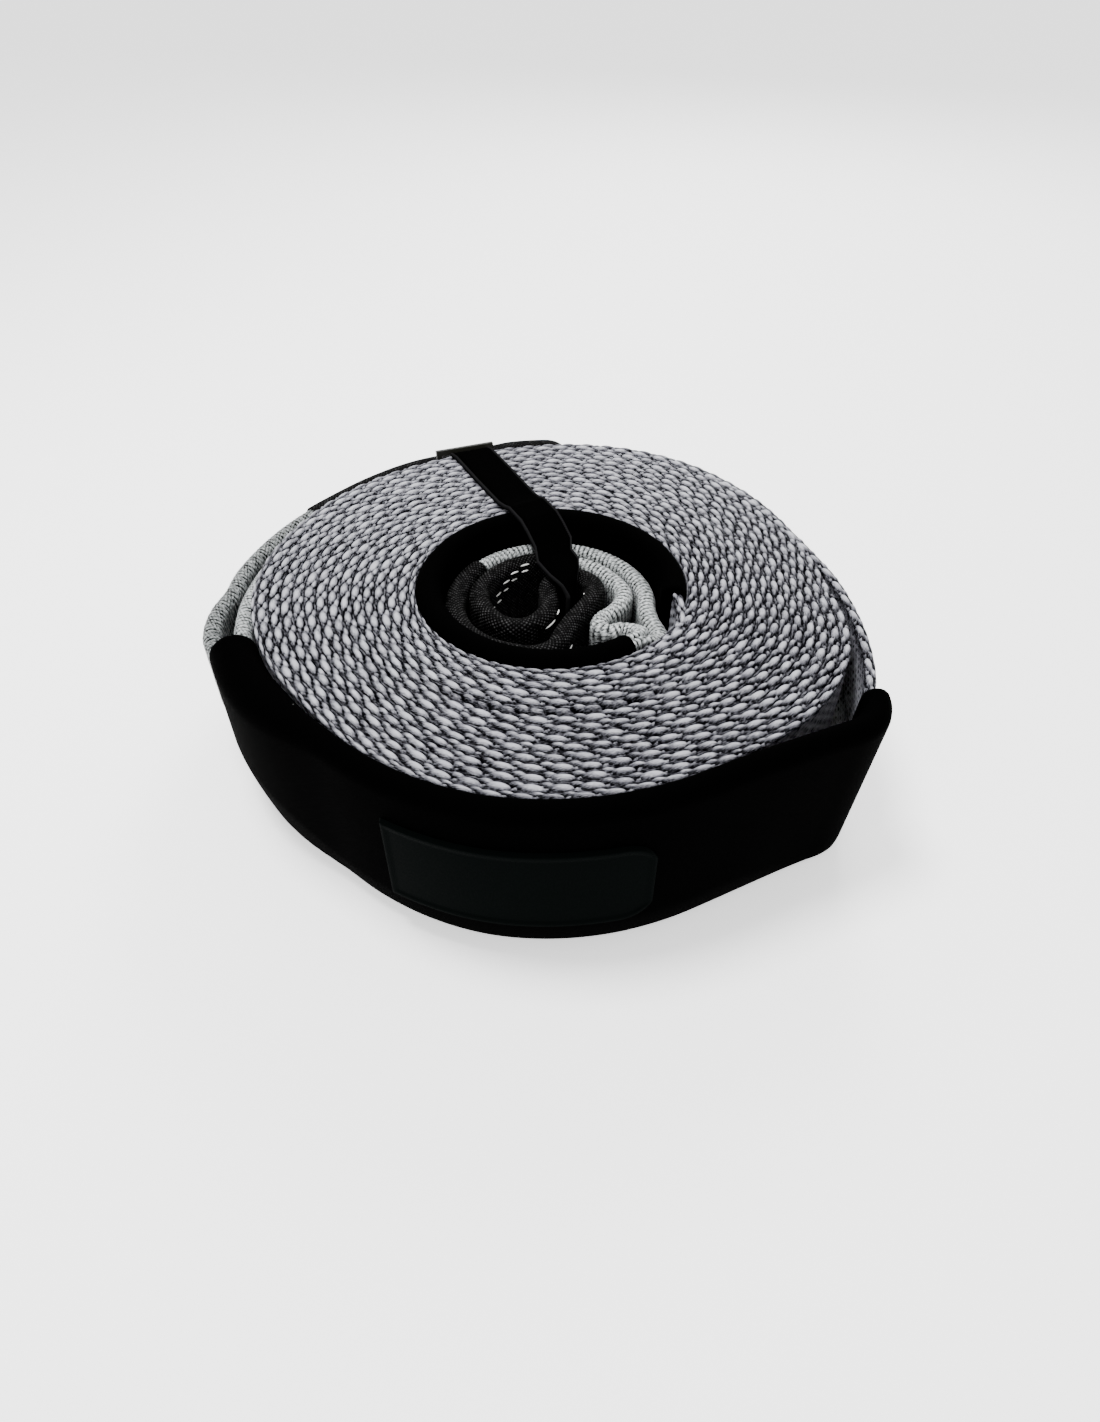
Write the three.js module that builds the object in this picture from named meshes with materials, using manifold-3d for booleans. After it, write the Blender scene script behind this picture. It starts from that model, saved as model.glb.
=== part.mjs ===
// A rolled-up tow strap: wide woven webbing wound flat on its side, with a padded sleeve over each sewn
// splice, a wear wrap round each eye, a hook-and-loop tie with its ring, and a bare rubber label patch.
// Millimetres, +Z up. The roll's axis is vertical and the roll rests on the webbing's lower edge.
import * as THREE from "three";
import { mergeVertices } from "three/addons/utils/BufferGeometryUtils.js";
import Module from "manifold-3d";

const wasm = await Module();
wasm.setup();

// Webbing and the roll
const webbingWidth = 75;
const webbingThickness = 4.2;
const turns = 14;
const turnPitch = 4.76;
const turnGrooveDepth = 1.4;
const boreRadius = 59.1;
const boreCentreX = 1.3;
const boreCentreY = 1.3;
const sectorsPerTurn = 36;
const spiralStartAngle = 20;
// How far the squashed rim stands out from its mean circle, every 20 degrees from +X, in thousandths of it
const rimBulge = [-33, -33, 2, 38, 38, 5, 2, 14, 18, 18, -14, -45, -29, -9, -10, -12, 22, 28];

// Sleeves over the sewn splices
const sleeveWall = 0.8;
const sleeveInnerGap = 0.45;
const sleeveHeight = 78;
const seatGap = 0.3;
const innerSleeveStart = -10;
const innerSleeveEnd = 306;
const outerSleeveLeftEnd = 197.5;
const splicePairEdge = 15;
const spliceCorner = 1.9;
const sleeveCorner = 3;
const sleeveStep = 12;
const sleeveSeatLift = 0.4;
const mouthAngle = 212;
const mouthTaperAngle = 22;
// Where the outer sleeve draws in below: how far its lower outer edge is cut back, across and up
const mouthCutWidth = 6;
const mouthCutHeight = 30;
const frontCutWidth = 5;
const frontCutHeight = 14;
// How far the outer sleeve's top leans inwards, less its foot, where its right end stands off the roll
const rightLean = -5;

// Eyes: the webbing folded in half along its length
const innerEyeTop = 66;
const outerEyeTop = 64;
const innerEyeFlat = 10;
const innerEyeFold = 26;
const outerEyeFlat = 42;
const outerEyeFold = 28;
const innerStrandDip = 3.6;
const innerStrandGap = 0.5;
const outerStrandGap = 0.8;

// Tight bends at the far ends of the eyes
const innerBendRadius = 10.6;
const innerBendX = 10.5;
const innerBendY = 10.2;
const outerBendRadius = 7.6;
const outerBendX = -2;
const outerBendY = 145.2;

// Wear wraps round the ends of the eyes
const wrapWall = 0.8;
const wrapGap = 0.15;
const wrappedThickness = 7.4;
const innerWrapReach = 146;
const outerWrapReach = 146;
// The middle of each wrap along its eye, as a share of the eye's length
const innerWrapMiddle = 0.542;
const outerWrapMiddle = 0.505;

// Hook-and-loop tie and its ring
const tieWidth = 21;
const tieBoreWidth = 19.5;
const tieNarrowWidth = 15;
const tieThickness = 1.8;
const tieLineX = -36.5;
const tieLineY = 109.4;
const tieHeading = -62.9;
const tieWallAngle = 109.35;
const ringWallAngle = 110.2;
const tieDropX = 10.4;
const tieDropY = 7.4;
const tieDropTurn = 48.5;
const ringInnerWidth = 26;
const ringInnerHeight = 11;
const ringBarWidth = 2.6;
const ringBarThickness = 2.4;
const ringTop = 75.5;

// Label patch
const patchThickness = 1.6;
const patchLow = 18;
const patchHigh = 60;
const patchStart = 244;
const patchEnd = 286.5;
const patchCornerRadius = 13;

// Fineness of the routes: the most they bend and run between two stations
const stationBend = 15;
const stationReach = 13;

// Sizes that follow from the ones above
const rimRadius = boreRadius + turns * turnPitch;
const eyeThickness = 2 * webbingThickness;
const spliceThickness = 2 * webbingThickness;
const sleeveThickness = spliceThickness + 2 * (sleeveWall + sleeveInnerGap);
const eyeMouthThickness = 2 * eyeThickness + 2 * (sleeveWall + sleeveInnerGap);
const wrapThickness = wrappedThickness + 2 * (wrapWall + wrapGap);
const bandLow = (sleeveHeight - webbingWidth) / 2;
const bandHigh = bandLow + webbingWidth;
const leadHigh = webbingWidth - bandLow;
const spliceRadius = boreRadius - seatGap - sleeveThickness / 2;
const legInset = 0.3;
const legOffset = webbingThickness / 2 - legInset;
const tieChannelWidth = tieWidth + 4 * seatGap;
const tieChannelDepth = tieThickness + 2 * seatGap;
const ringLowerOffset = seatGap + 0.2 + ringBarThickness / 2;
const ringUpperOffset = 2 * seatGap + 0.2 + tieThickness + ringBarThickness / 2;
const tieClearance = seatGap + ringBarThickness + tieThickness + 0.8;
const ringSeat = ringLowerOffset + ringBarThickness / 2 + seatGap + tieThickness / 2;
const ringRise = ringInnerHeight + ringBarWidth;
const ringLean = Math.asin((ringUpperOffset - ringLowerOffset) / ringRise);
const ringLowerBar = ringTop - ringRise * Math.cos(ringLean);
const fullTurn = 360;

// Plan helpers
const radians = (degrees) => THREE.MathUtils.degToRad(degrees);

function polar(angle, radius, centreX = 0, centreY = 0) {
  const x = centreX + radius * Math.cos(radians(angle));
  const y = centreY + radius * Math.sin(radians(angle));
  return new THREE.Vector2(x, y);
}

function borePolar(angle, radius) {
  return polar(angle, radius, boreCentreX, boreCentreY);
}

function rimAt(angle) {
  const step = fullTurn / rimBulge.length;
  const place = THREE.MathUtils.euclideanModulo(angle, fullTurn) / step;
  const index = Math.floor(place);
  const value = (offset) => rimBulge[(index + offset + rimBulge.length) % rimBulge.length];
  const t = place - index;
  const slopeIn = (value(1) - value(-1)) / 2;
  const slopeOut = (value(2) - value(0)) / 2;
  const rise = value(1) - value(0);
  const cubic = slopeIn + slopeOut - 2 * rise;
  const square = 3 * rise - 2 * slopeIn - slopeOut;
  return rimRadius * (1 + (value(0) + t * (slopeIn + t * (square + t * cubic))) / 1000);
}

function roundInnerBend(angle, radius) {
  return polar(angle, radius, innerBendX, innerBendY);
}

function roundOuterBend(angle, radius) {
  return polar(angle, radius, outerBendX, outerBendY);
}

// Plan points as shares of the rim's mean radius, and points of angle and share
function fromRim(pairs) {
  return pairs.map(([x, y]) => new THREE.Vector2(rimRadius * x, rimRadius * y));
}

function roundRim(pairs) {
  return pairs.map(([angle, share]) => polar(angle, rimRadius * share));
}

// Plan points from the bore's centre as shares of its radius
function fromBore(pairs) {
  const centre = new THREE.Vector2(boreCentreX, boreCentreY);
  return pairs.map(([x, y]) => new THREE.Vector2(boreRadius * x, boreRadius * y).add(centre));
}

function blend(from, to, t) {
  const s = THREE.MathUtils.clamp(t, 0, 1);
  return from + (to - from) * s * s * (3 - 2 * s);
}

// Solids and booleans
function toSolid(geometry) {
  const merged = mergeVertices(positionOnly(geometry), 1e-4);
  const mesh = new wasm.Mesh({
    numProp: 3,
    vertProperties: new Float32Array(merged.attributes.position.array),
    triVerts: new Uint32Array(merged.index.array),
  });
  return new wasm.Manifold(mesh);
}

function positionOnly(geometry) {
  const plain = new THREE.BufferGeometry();
  plain.setAttribute("position", geometry.attributes.position.clone());
  if (geometry.index) {
    plain.setIndex(geometry.index.clone());
  }
  return plain;
}

function toGeometry(solid) {
  const mesh = solid.getMesh();
  const geometry = new THREE.BufferGeometry();
  geometry.setAttribute("position", new THREE.BufferAttribute(new Float32Array(mesh.vertProperties), 3));
  geometry.setIndex(new THREE.BufferAttribute(new Uint32Array(mesh.triVerts), 1));
  geometry.computeVertexNormals();
  return geometry;
}

function fromTriangles(triangles) {
  const geometry = new THREE.BufferGeometry();
  geometry.setFromPoints(triangles.filter((triangle) => isReal(triangle)).flat());
  return geometry;
}

function isReal([a, b, c]) {
  const near = 1e-3;
  return a.distanceTo(b) > near && b.distanceTo(c) > near && c.distanceTo(a) > near;
}

function quad(a, b, c, d) {
  return [[a, b, c], [a, c, d]];
}

// A skin over rows of section points, closed by flat caps, or joined end to end when it is a loop
function skin(sections, loop = false) {
  const triangles = [];
  const count = sections[0].length;
  const last = loop ? sections.length : sections.length - 1;
  for (let row = 0; row < last; row++) {
    const here = sections[row];
    const next = sections[(row + 1) % sections.length];
    for (let k = 0; k < count; k++) {
      const m = (k + 1) % count;
      triangles.push(...quad(here[m], here[k], next[k], next[m]));
    }
  }
  if (!loop) {
    const first = sections[0];
    const end = sections[sections.length - 1];
    for (let k = 1; k < count - 1; k++) {
      triangles.push([first[0], first[k], first[k + 1]]);
      triangles.push([end[0], end[k + 1], end[k]]);
    }
  }
  return fromTriangles(triangles);
}

// One standing section: thickness across the route, height in Z, corners cut back, the lower left one more
// where it has a cut of its own, the top leaning to the right of travel
function standingSection(station) {
  const { point, side, half, low, high } = station;
  const corner = Math.min(station.corner ?? 0, half * 0.8);
  const cut = station.cut ?? { wide: corner, tall: corner };
  const lean = station.lean ?? 0;
  const rows = corner > 0
    ? [[-half, low + cut.tall], [-half + cut.wide, low], [half - corner, low], [half, low + corner],
      [half, high - corner], [half - corner, high], [-half + corner, high], [-half, high - corner]]
    : [[-half, low], [half, low], [half, high], [-half, high]];
  const leaning = (z) => lean * (z / sleeveHeight - 0.5);
  return rows.map(([across, z]) => besideRoute({ point, side }, across + leaning(z), z));
}

function besideRoute({ point, side }, across, z) {
  return new THREE.Vector3(point.x + side.x * across, point.y + side.y * across, z);
}

// Stations along a plan route: side is the unit vector to the right of travel
function routeStations(points, shape) {
  let length = 0;
  return points.map((point, index) => {
    const before = points[Math.max(index - 1, 0)];
    const after = points[Math.min(index + 1, points.length - 1)];
    const along = after.clone().sub(before).normalize();
    if (index > 0) {
      length += point.distanceTo(before);
    }
    return { point, side: new THREE.Vector2(along.y, -along.x), ...shape(length, index) };
  });
}

function standingBand(stations) {
  return toSolid(skin(stations.map((station) => standingSection(station))));
}

// A smooth route through plan points, with stations only as close as its bends need
function smoothRoute(points) {
  const places = points.map((point) => new THREE.Vector3(point.x, point.y, 0));
  const curve = new THREE.CatmullRomCurve3(places, false, "centripetal");
  curve.arcLengthDivisions = 1200;
  const fine = curve.getSpacedPoints(500).map((p) => new THREE.Vector2(p.x, p.y));
  const heading = (index) => fine[index + 1].clone().sub(fine[index]);
  const kept = [fine[0]];
  let from = 0;
  for (let index = 1; index < fine.length - 1; index++) {
    const bend = Math.abs(heading(from).angleTo(heading(index)));
    const far = fine[index].distanceTo(fine[from]) > stationReach;
    if (bend > radians(stationBend) || far) {
      kept.push(fine[index]);
      from = index;
    }
  }
  kept.push(fine[fine.length - 1]);
  return kept;
}

function routeLength(points) {
  let length = 0;
  for (let index = 1; index < points.length; index++) {
    length += points[index].distanceTo(points[index - 1]);
  }
  return length;
}

function arc(from, to, radiusAt, step, place) {
  const count = Math.max(1, Math.round(Math.abs(to - from) / step));
  const points = [];
  for (let k = 0; k <= count; k++) {
    const angle = from + (to - from) * k / count;
    points.push(place(angle, radiusAt(angle)));
  }
  return points;
}

// The roll: a turned solid whose turns show as one spiral of rounded edges on both ends
function rollSolid() {
  const lastStep = turns * sectorsPerTurn;
  const place = (step, fractionStep, z) => {
    const angle = spiralStartAngle - step * fullTurn / sectorsPerTurn;
    const bore = borePolar(angle, boreRadius);
    const rim = polar(angle, rimAt(angle));
    const spot = bore.lerp(rim, fractionStep / lastStep);
    return new THREE.Vector3(spot.x, spot.y, z);
  };
  const triangles = [];
  for (const top of [true, false]) {
    const level = (lift) => (top ? webbingWidth - turnGrooveDepth + lift : turnGrooveDepth - lift);
    const inner = (step) => place(step, Math.max(step, 0), level(0));
    const outer = (step) => place(step, Math.min(step + sectorsPerTurn, lastStep), level(0));
    const ridge = (step) => {
      const from = Math.max(step, 0);
      const to = Math.min(step + sectorsPerTurn, lastStep);
      return place(step, (from + to) / 2, level(turnGrooveDepth * (to - from) / sectorsPerTurn));
    };
    for (let step = -sectorsPerTurn; step < lastStep; step++) {
      const faces = [
        ...quad(inner(step), inner(step + 1), ridge(step + 1), ridge(step)),
        ...quad(ridge(step), ridge(step + 1), outer(step + 1), outer(step)),
      ];
      triangles.push(...faces.map(([a, b, c]) => (top ? [a, b, c] : [a, c, b])));
    }
  }
  for (let step = 0; step < sectorsPerTurn; step++) {
    for (const [fraction, inward] of [[0, true], [lastStep, false]]) {
      const low = place(step, fraction, turnGrooveDepth);
      const lowNext = place(step + 1, fraction, turnGrooveDepth);
      const high = place(step, fraction, webbingWidth - turnGrooveDepth);
      const highNext = place(step + 1, fraction, webbingWidth - turnGrooveDepth);
      const faces = quad(low, high, highNext, lowNext);
      triangles.push(...faces.map(([a, b, c]) => (inward ? [a, c, b] : [a, b, c])));
    }
  }
  return toSolid(fromTriangles(triangles));
}

// Inner end: splice inside the bore, its lead from the first turn, and the eye wound inside it
function innerSplice() {
  const points = arc(splicePairEdge - 12, innerSleeveEnd - 3, () => spliceRadius, sleeveStep, borePolar);
  const shape = () => ({ half: spliceThickness / 2, low: bandLow, high: bandHigh, corner: spliceCorner });
  return standingBand(routeStations(points, shape));
}

function innerLead() {
  const firstTurnRadius = boreRadius + turnPitch / 2;
  const radiusAt = (angle) => blend(firstTurnRadius, spliceRadius, (angle + 35) / 35);
  const points = arc(-50, splicePairEdge, radiusAt, 5, borePolar);
  const shape = () => ({ half: webbingThickness / 2, low: bandLow, high: leadHigh, corner: 1.2 });
  return standingBand(routeStations(points, shape));
}

// The route of the inner eye, from the splice's outer layer round to its inner layer
const outerStrandRadius = boreRadius - 3 * seatGap - sleeveThickness - wrapThickness / 2;
const innerStrandRadius = outerStrandRadius - wrapThickness - innerStrandGap;
const dippedStrand = (angle) => outerStrandRadius - innerStrandDip * ((angle - 190) / 55) ** 2;
const innerEyeRoute = smoothRoute([
  ...arc(innerSleeveEnd - 8, innerSleeveEnd + 2, () => spliceRadius + legOffset, 5, borePolar),
  ...fromBore([[0.697, -0.631], [0.761, -0.513], [0.773, -0.382], [0.734, -0.244]]),
  ...arc(-8, 190, () => outerStrandRadius, 12, borePolar),
  ...arc(205, 245, dippedStrand, 13, borePolar),
  ...fromBore([[-0.112, -0.619], [0.020, -0.548], [0.096, -0.372], [0.179, -0.200], [0.266, -0.056]]),
  ...fromBore([[0.320, 0.054]]),
  ...arc(5, 185, () => innerBendRadius, 28, roundInnerBend),
  ...fromBore([[-0.015, 0.034], [-0.027, -0.107], [-0.088, -0.230], [-0.191, -0.305], [-0.318, -0.298]]),
  ...fromBore([[-0.433, -0.208], [-0.514, -0.068]]),
  ...arc(170, 30, () => innerStrandRadius, 14, borePolar),
  ...fromBore([[0.553, 0.118], [0.525, -0.022], [0.453, -0.129], [0.371, -0.210], [0.354, -0.301]]),
  ...fromBore([[0.420, -0.359], [0.511, -0.332], [0.602, -0.382], [0.641, -0.494], [0.602, -0.613]]),
  ...arc(innerSleeveEnd + 2, innerSleeveEnd - 8, () => spliceRadius - legOffset, 5, borePolar),
]);
const innerEye = {
  route: innerEyeRoute,
  total: routeLength(innerEyeRoute),
  flat: innerEyeFlat,
  fold: innerEyeFold,
  top: innerEyeTop,
  wrapMiddle: innerWrapMiddle * routeLength(innerEyeRoute),
  wrapReach: innerWrapReach,
};

// An eye's strand: flat webbing at both ends, folded in half between, thinner where it is wrapped
function strandShape(eye, length, extra) {
  const fromEnd = Math.min(length, eye.total - length);
  const folded = (fromEnd - eye.flat) / eye.fold;
  const wrapped = (eye.wrapReach + 6 - Math.abs(length - eye.wrapMiddle)) / 8;
  const open = blend(webbingThickness, eyeThickness, folded);
  const half = blend(open, wrappedThickness, wrapped) / 2 + extra;
  const low = blend(bandLow, eye.top - webbingWidth / 2, folded) - extra;
  const high = blend(bandHigh, eye.top, folded) + extra;
  return { half, low, high, corner: blend(1.6, 2.8, folded) };
}

function eyeStations(eye, extra = 0) {
  return routeStations(eye.route, (length) => ({ length, ...strandShape(eye, length, extra) }));
}

// Outer end: the last turn leaves the roll on the right, runs through the outer sleeve and ends in the eye
const frontSeat = (angle) => rimAt(angle) + seatGap;
const inMouth = (angle) => (angle - mouthAngle) / mouthTaperAngle;
const mouthHalf = (angle) => blend(eyeMouthThickness, sleeveThickness, inMouth(angle)) / 2;
const alongFront = (angle) => frontSeat(angle) + mouthHalf(angle);
const rightEndRoute = fromRim([
  [0.964, -0.571], [0.960, -0.616], [0.938, -0.672], [0.893, -0.709], [0.829, -0.737], [0.740, -0.779],
]);
const outerSleeveRoute = [
  ...rightEndRoute,
  polar(307, alongFront(307) + sleeveSeatLift),
  ...arc(300, 210, alongFront, 10, polar),
  ...arc(204, outerSleeveLeftEnd, alongFront, 6.5, polar),
];
const pastEnd = (end, before) => end.clone().multiplyScalar(2).sub(before);
const pastRightEnd = pastEnd(outerSleeveRoute[0], outerSleeveRoute[1]);
const pastLeftEnd = pastEnd(outerSleeveRoute.at(-1), outerSleeveRoute.at(-2));
const outerSleeveAngles = outerSleeveRoute.map((point) => {
  return THREE.MathUtils.euclideanModulo(THREE.MathUtils.radToDeg(point.angle()), fullTurn);
});

// The sleeve's lower outer edge is cut back most at its mouth and least at its right end. A body inside the
// sleeve, inset from its side and raised from its foot, is cut back by as much less.
function outerSleeveCut(angle, inset, rise) {
  const rightEnd = (angle - 300) / 20;
  const wide = blend(blend(mouthCutWidth, frontCutWidth, inMouth(angle)), sleeveCorner, rightEnd);
  const tall = blend(blend(mouthCutHeight, frontCutHeight, inMouth(angle)), sleeveCorner, rightEnd);
  const grown = 1 + inset * Math.hypot(1 / wide, 1 / tall);
  return { wide: wide * (grown - rise / tall) - inset, tall: tall * (grown - inset / wide) - rise };
}

function outerSleeveShape(index, inset, low, high, corner) {
  const angle = outerSleeveAngles[THREE.MathUtils.clamp(index, 0, outerSleeveAngles.length - 1)];
  const lean = blend(0, rightLean, (angle - 300) / 20);
  return { half: mouthHalf(angle) - inset, low, high, corner, lean, cut: outerSleeveCut(angle, inset, low) };
}

function outerSplice() {
  const start = 2;
  const end = outerSleeveRoute.length - 4;
  const inset = sleeveWall + sleeveInnerGap;
  const shape = (length, index) => outerSleeveShape(index + start, inset, bandLow, bandHigh, spliceCorner);
  return standingBand(routeStations(outerSleeveRoute.slice(start, end), shape));
}

// What the sleeve's draw-in below leaves no room for, beside the layers sewn into it
function outsideCut() {
  const inset = sleeveWall + sleeveInnerGap + 2 * seatGap;
  const reach = 8;
  const shape = (length, index) => outerSleeveShape(index, inset, bandLow, bandHigh, spliceCorner);
  const stations = routeStations([...outerSleeveRoute, pastLeftEnd], shape).slice(7);
  return toSolid(skin(stations.map((station) => {
    const edge = -station.half;
    const outline = [
      [edge - reach, -reach], [edge + station.cut.wide, -reach], [edge + station.cut.wide, bandLow],
      [edge, bandLow + station.cut.tall], [edge - reach, bandLow + station.cut.tall],
    ];
    return outline.map(([across, z]) => besideRoute(station, across, z));
  })));
}

const leadRoute = [
  ...arc(50, 30, (angle) => rimAt(angle) - turnPitch / 2 - 0.2, 10, polar),
  ...roundRim([[20, 0.959], [10, 0.970], [3, 0.991], [356, 1.012], [347, 1.046], [339, 1.081]]),
  ...roundRim([[333, 1.109]]),
  ...rightEndRoute.slice(0, 4),
];

function outerLead() {
  const shape = (length, index) => {
    const lean = blend(0, rightLean, (index - 5) / 5);
    return { half: webbingThickness / 2, low: bandLow, high: leadHigh, corner: 1.2, lean };
  };
  return standingBand(routeStations(leadRoute, shape));
}

const strandStandOff = (angle) => blend(tieClearance, 0, (angle - 118) / 24);
const besideRim = (angle, layers) => frontSeat(angle) + outerStrandGap + strandStandOff(angle)
  + layers * (wrapThickness + outerStrandGap) + wrapThickness / 2;
const inSleeve = (angle, offset) => polar(angle, frontSeat(angle) + sleeveWall + sleeveInnerGap + offset);
const outerLayer = 1.5 * webbingThickness - legInset;
const innerLayer = 0.5 * webbingThickness + legInset;
const outerEyeRoute = smoothRoute([
  inSleeve(240, outerLayer), inSleeve(232, outerLayer), inSleeve(224, outerLayer),
  inSleeve(215, 2.5 * webbingThickness), inSleeve(207, 1.49 * eyeThickness),
  inSleeve(202, 1.5 * eyeThickness), inSleeve(198, 1.5 * eyeThickness),
  ...roundRim([[192, 1.137], [189, 1.156], [185, 1.163], [181, 1.158], [176, 1.140]]),
  ...arc(170, 110, (angle) => besideRim(angle, 1), 10, polar),
  ...roundRim([[103.5, 1.180], [98, 1.207]]),
  ...arc(100, -95, () => outerBendRadius, 28, roundOuterBend),
  ...arc(98, 178, (angle) => besideRim(angle, 0), 10, polar),
  polar(184, besideRim(184, 0)), polar(190, besideRim(190, 0) + 0.4),
  inSleeve(198, 0.5 * eyeThickness), inSleeve(202, 0.5 * eyeThickness), inSleeve(207, 0.5 * eyeThickness),
  inSleeve(215, 0.8 * webbingThickness),
  inSleeve(224, innerLayer), inSleeve(232, innerLayer), inSleeve(240, innerLayer),
]);
const outerEye = {
  route: outerEyeRoute,
  total: routeLength(outerEyeRoute),
  flat: outerEyeFlat,
  fold: outerEyeFold,
  top: outerEyeTop,
  wrapMiddle: outerWrapMiddle * routeLength(outerEyeRoute),
  wrapReach: outerWrapReach,
};

// Channels for the tie across the bottom of the roll and of the sleeve round its bore
const tieAlong = new THREE.Vector2(Math.cos(radians(tieHeading)), Math.sin(radians(tieHeading)));

function onTieLine(distance, z) {
  return new THREE.Vector3(tieLineX + tieAlong.x * distance, tieLineY + tieAlong.y * distance, z);
}

function tieChannel() {
  const length = 110;
  const box = new THREE.BoxGeometry(length, tieChannelWidth, 2 * tieChannelDepth);
  box.rotateZ(radians(tieHeading));
  const middle = onTieLine(length / 2 - 25, 0);
  box.translate(middle.x, middle.y, 0);
  return toSolid(box);
}

function webbing() {
  return rollSolid()
    .add(innerLead())
    .add(innerSplice())
    .add(standingBand(eyeStations(innerEye)))
    .add(outerLead())
    .add(outerSplice())
    .add(standingBand(eyeStations(outerEye)).subtract(outsideCut()))
    .subtract(tieChannel());
}

function innerSleeve() {
  const points = arc(innerSleeveStart, innerSleeveEnd, () => spliceRadius, sleeveStep, borePolar);
  const outside = () => ({ half: sleeveThickness / 2, low: 0, high: sleeveHeight, corner: sleeveCorner });
  const inside = () => ({
    half: sleeveThickness / 2 - sleeveWall,
    low: bandLow - sleeveInnerGap,
    high: bandHigh + sleeveInnerGap,
    corner: spliceCorner + sleeveInnerGap,
  });
  const before = borePolar(innerSleeveStart - sleeveStep, spliceRadius);
  const after = borePolar(innerSleeveEnd + sleeveStep, spliceRadius);
  return standingBand(routeStations(points, outside))
    .subtract(standingBand(routeStations([before, ...points, after], inside)))
    .subtract(tieChannel());
}

function outerSleeve() {
  const outside = (length, index) => outerSleeveShape(index, 0, 0, sleeveHeight, sleeveCorner);
  const low = bandLow - sleeveInnerGap;
  const high = bandHigh + sleeveInnerGap;
  const cavityCorner = spliceCorner + sleeveInnerGap;
  const inside = (length, index) => outerSleeveShape(index - 1, sleeveWall, low, high, cavityCorner);
  const cavityRoute = [pastRightEnd, ...outerSleeveRoute, pastLeftEnd];
  return standingBand(routeStations(outerSleeveRoute, outside))
    .subtract(standingBand(routeStations(cavityRoute, inside)));
}

// A wrap is a tube round the middle of an eye's strand, open at both ends
function eyeWrap(eye) {
  const keep = (extra, reach) => {
    return eyeStations(eye, extra).filter((station) => Math.abs(station.length - eye.wrapMiddle) <= reach);
  };
  const outside = keep(wrapWall + wrapGap, eye.wrapReach);
  return standingBand(outside).subtract(standingBand(keep(wrapGap, eye.wrapReach + 12)));
}

// The tie: a closed ribbon over the roll, down through the inner eye and back under the roll
function wallPlace(angle, offset, z) {
  const spot = polar(angle, rimAt(angle) + offset);
  return new THREE.Vector3(spot.x, spot.y, z);
}

function tieStations() {
  const lift = seatGap + tieThickness / 2;
  const top = webbingWidth + lift;
  const overSleeve = sleeveHeight + lift;
  const across = tieHeading + 90;
  const drop = across + tieDropTurn;
  const line = (distance, z, turn = across, width = tieWidth) => {
    return { at: onTieLine(distance, z), turn, width };
  };
  const wall = (offset, z, turn = ringWallAngle - 90) => {
    return { at: wallPlace(tieWallAngle, offset, z), turn, width: tieWidth };
  };
  const dropAt = (z, turn, width, x = tieDropX, y = tieDropY) => {
    return { at: new THREE.Vector3(x, y, z), turn, width };
  };
  return [
    wall(lift, 8), wall(lift, 47), wall(lift + 0.4, ringLowerBar - 9.2), wall(ringSeat, ringLowerBar - 2.6),
    wall(ringSeat, ringLowerBar + 2.4), wall(lift + 0.3, ringLowerBar + 6.4), wall(lift, 73.3),
    wall(0.75, 74.7), wall(-0.7, 75.6), wall(-2.2, top, across - 4),
    line(-6, top), line(20, top), line(46, top, across, 20), line(53, top + 1.3, across, tieBoreWidth),
    line(57.5, overSleeve, across, tieBoreWidth), line(70.5, overSleeve, across, tieBoreWidth),
    line(77, 77, across, tieBoreWidth), line(85, 73, across, tieBoreWidth),
    dropAt(70.6, across + 7, tieBoreWidth, 2.9, 26.3), dropAt(69.8, across + 18, tieBoreWidth, 7.3, 18.2),
    dropAt(69.3, across + 36, 17.5, 9.8, 12), dropAt(66.2, drop, tieNarrowWidth, 10.5, 7.8),
    dropAt(60, drop, tieNarrowWidth), dropAt(35, drop, tieNarrowWidth), dropAt(12, drop, tieNarrowWidth),
    dropAt(5.5, across + 40, 17, 9.9, 8.8), dropAt(2.4, across + 30, 19, 8.2, 13.4),
    line(97, lift), line(85, lift), line(60, lift), line(25, lift), line(-2, lift),
    line(-8, lift, across - 4), wall(lift, lift),
  ];
}

function ribbonSection(stations, index) {
  const count = stations.length;
  const { at, turn, width } = stations[index];
  const along = stations[(index + 1) % count].at.clone().sub(stations[(index + count - 1) % count].at);
  const wide = new THREE.Vector3(Math.cos(radians(turn)), Math.sin(radians(turn)), 0);
  const up = new THREE.Vector3().crossVectors(along, wide).normalize();
  const corner = (w, t) => {
    return at.clone().addScaledVector(wide, w * width / 2).addScaledVector(up, t * tieThickness / 2);
  };
  return [corner(-1, -1), corner(-1, 1), corner(1, 1), corner(1, -1)];
}

function tieStrap() {
  const stations = tieStations();
  return toSolid(skin(stations.map((station, index) => ribbonSection(stations, index)), true));
}

// The ring hangs on the roll's back wall: its top bar outside the tie, its lower bar between tie and wall
function tieRing() {
  const outline = new THREE.Shape();
  const halfWide = ringInnerWidth / 2 + ringBarWidth;
  const halfTall = ringInnerHeight / 2 + ringBarWidth;
  outline.moveTo(-halfWide, -halfTall).lineTo(halfWide, -halfTall).lineTo(halfWide, halfTall);
  outline.lineTo(-halfWide, halfTall).closePath();
  const window = new THREE.Path();
  const openWide = ringInnerWidth / 2;
  const openTall = ringInnerHeight / 2;
  window.moveTo(-openWide, -openTall).lineTo(-openWide, openTall).lineTo(openWide, openTall);
  window.lineTo(openWide, -openTall).closePath();
  outline.holes.push(window);
  const ring = new THREE.ExtrudeGeometry(outline, { depth: ringBarThickness, bevelEnabled: false });
  ring.translate(0, 0, -ringBarThickness / 2);
  return ring;
}

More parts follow.
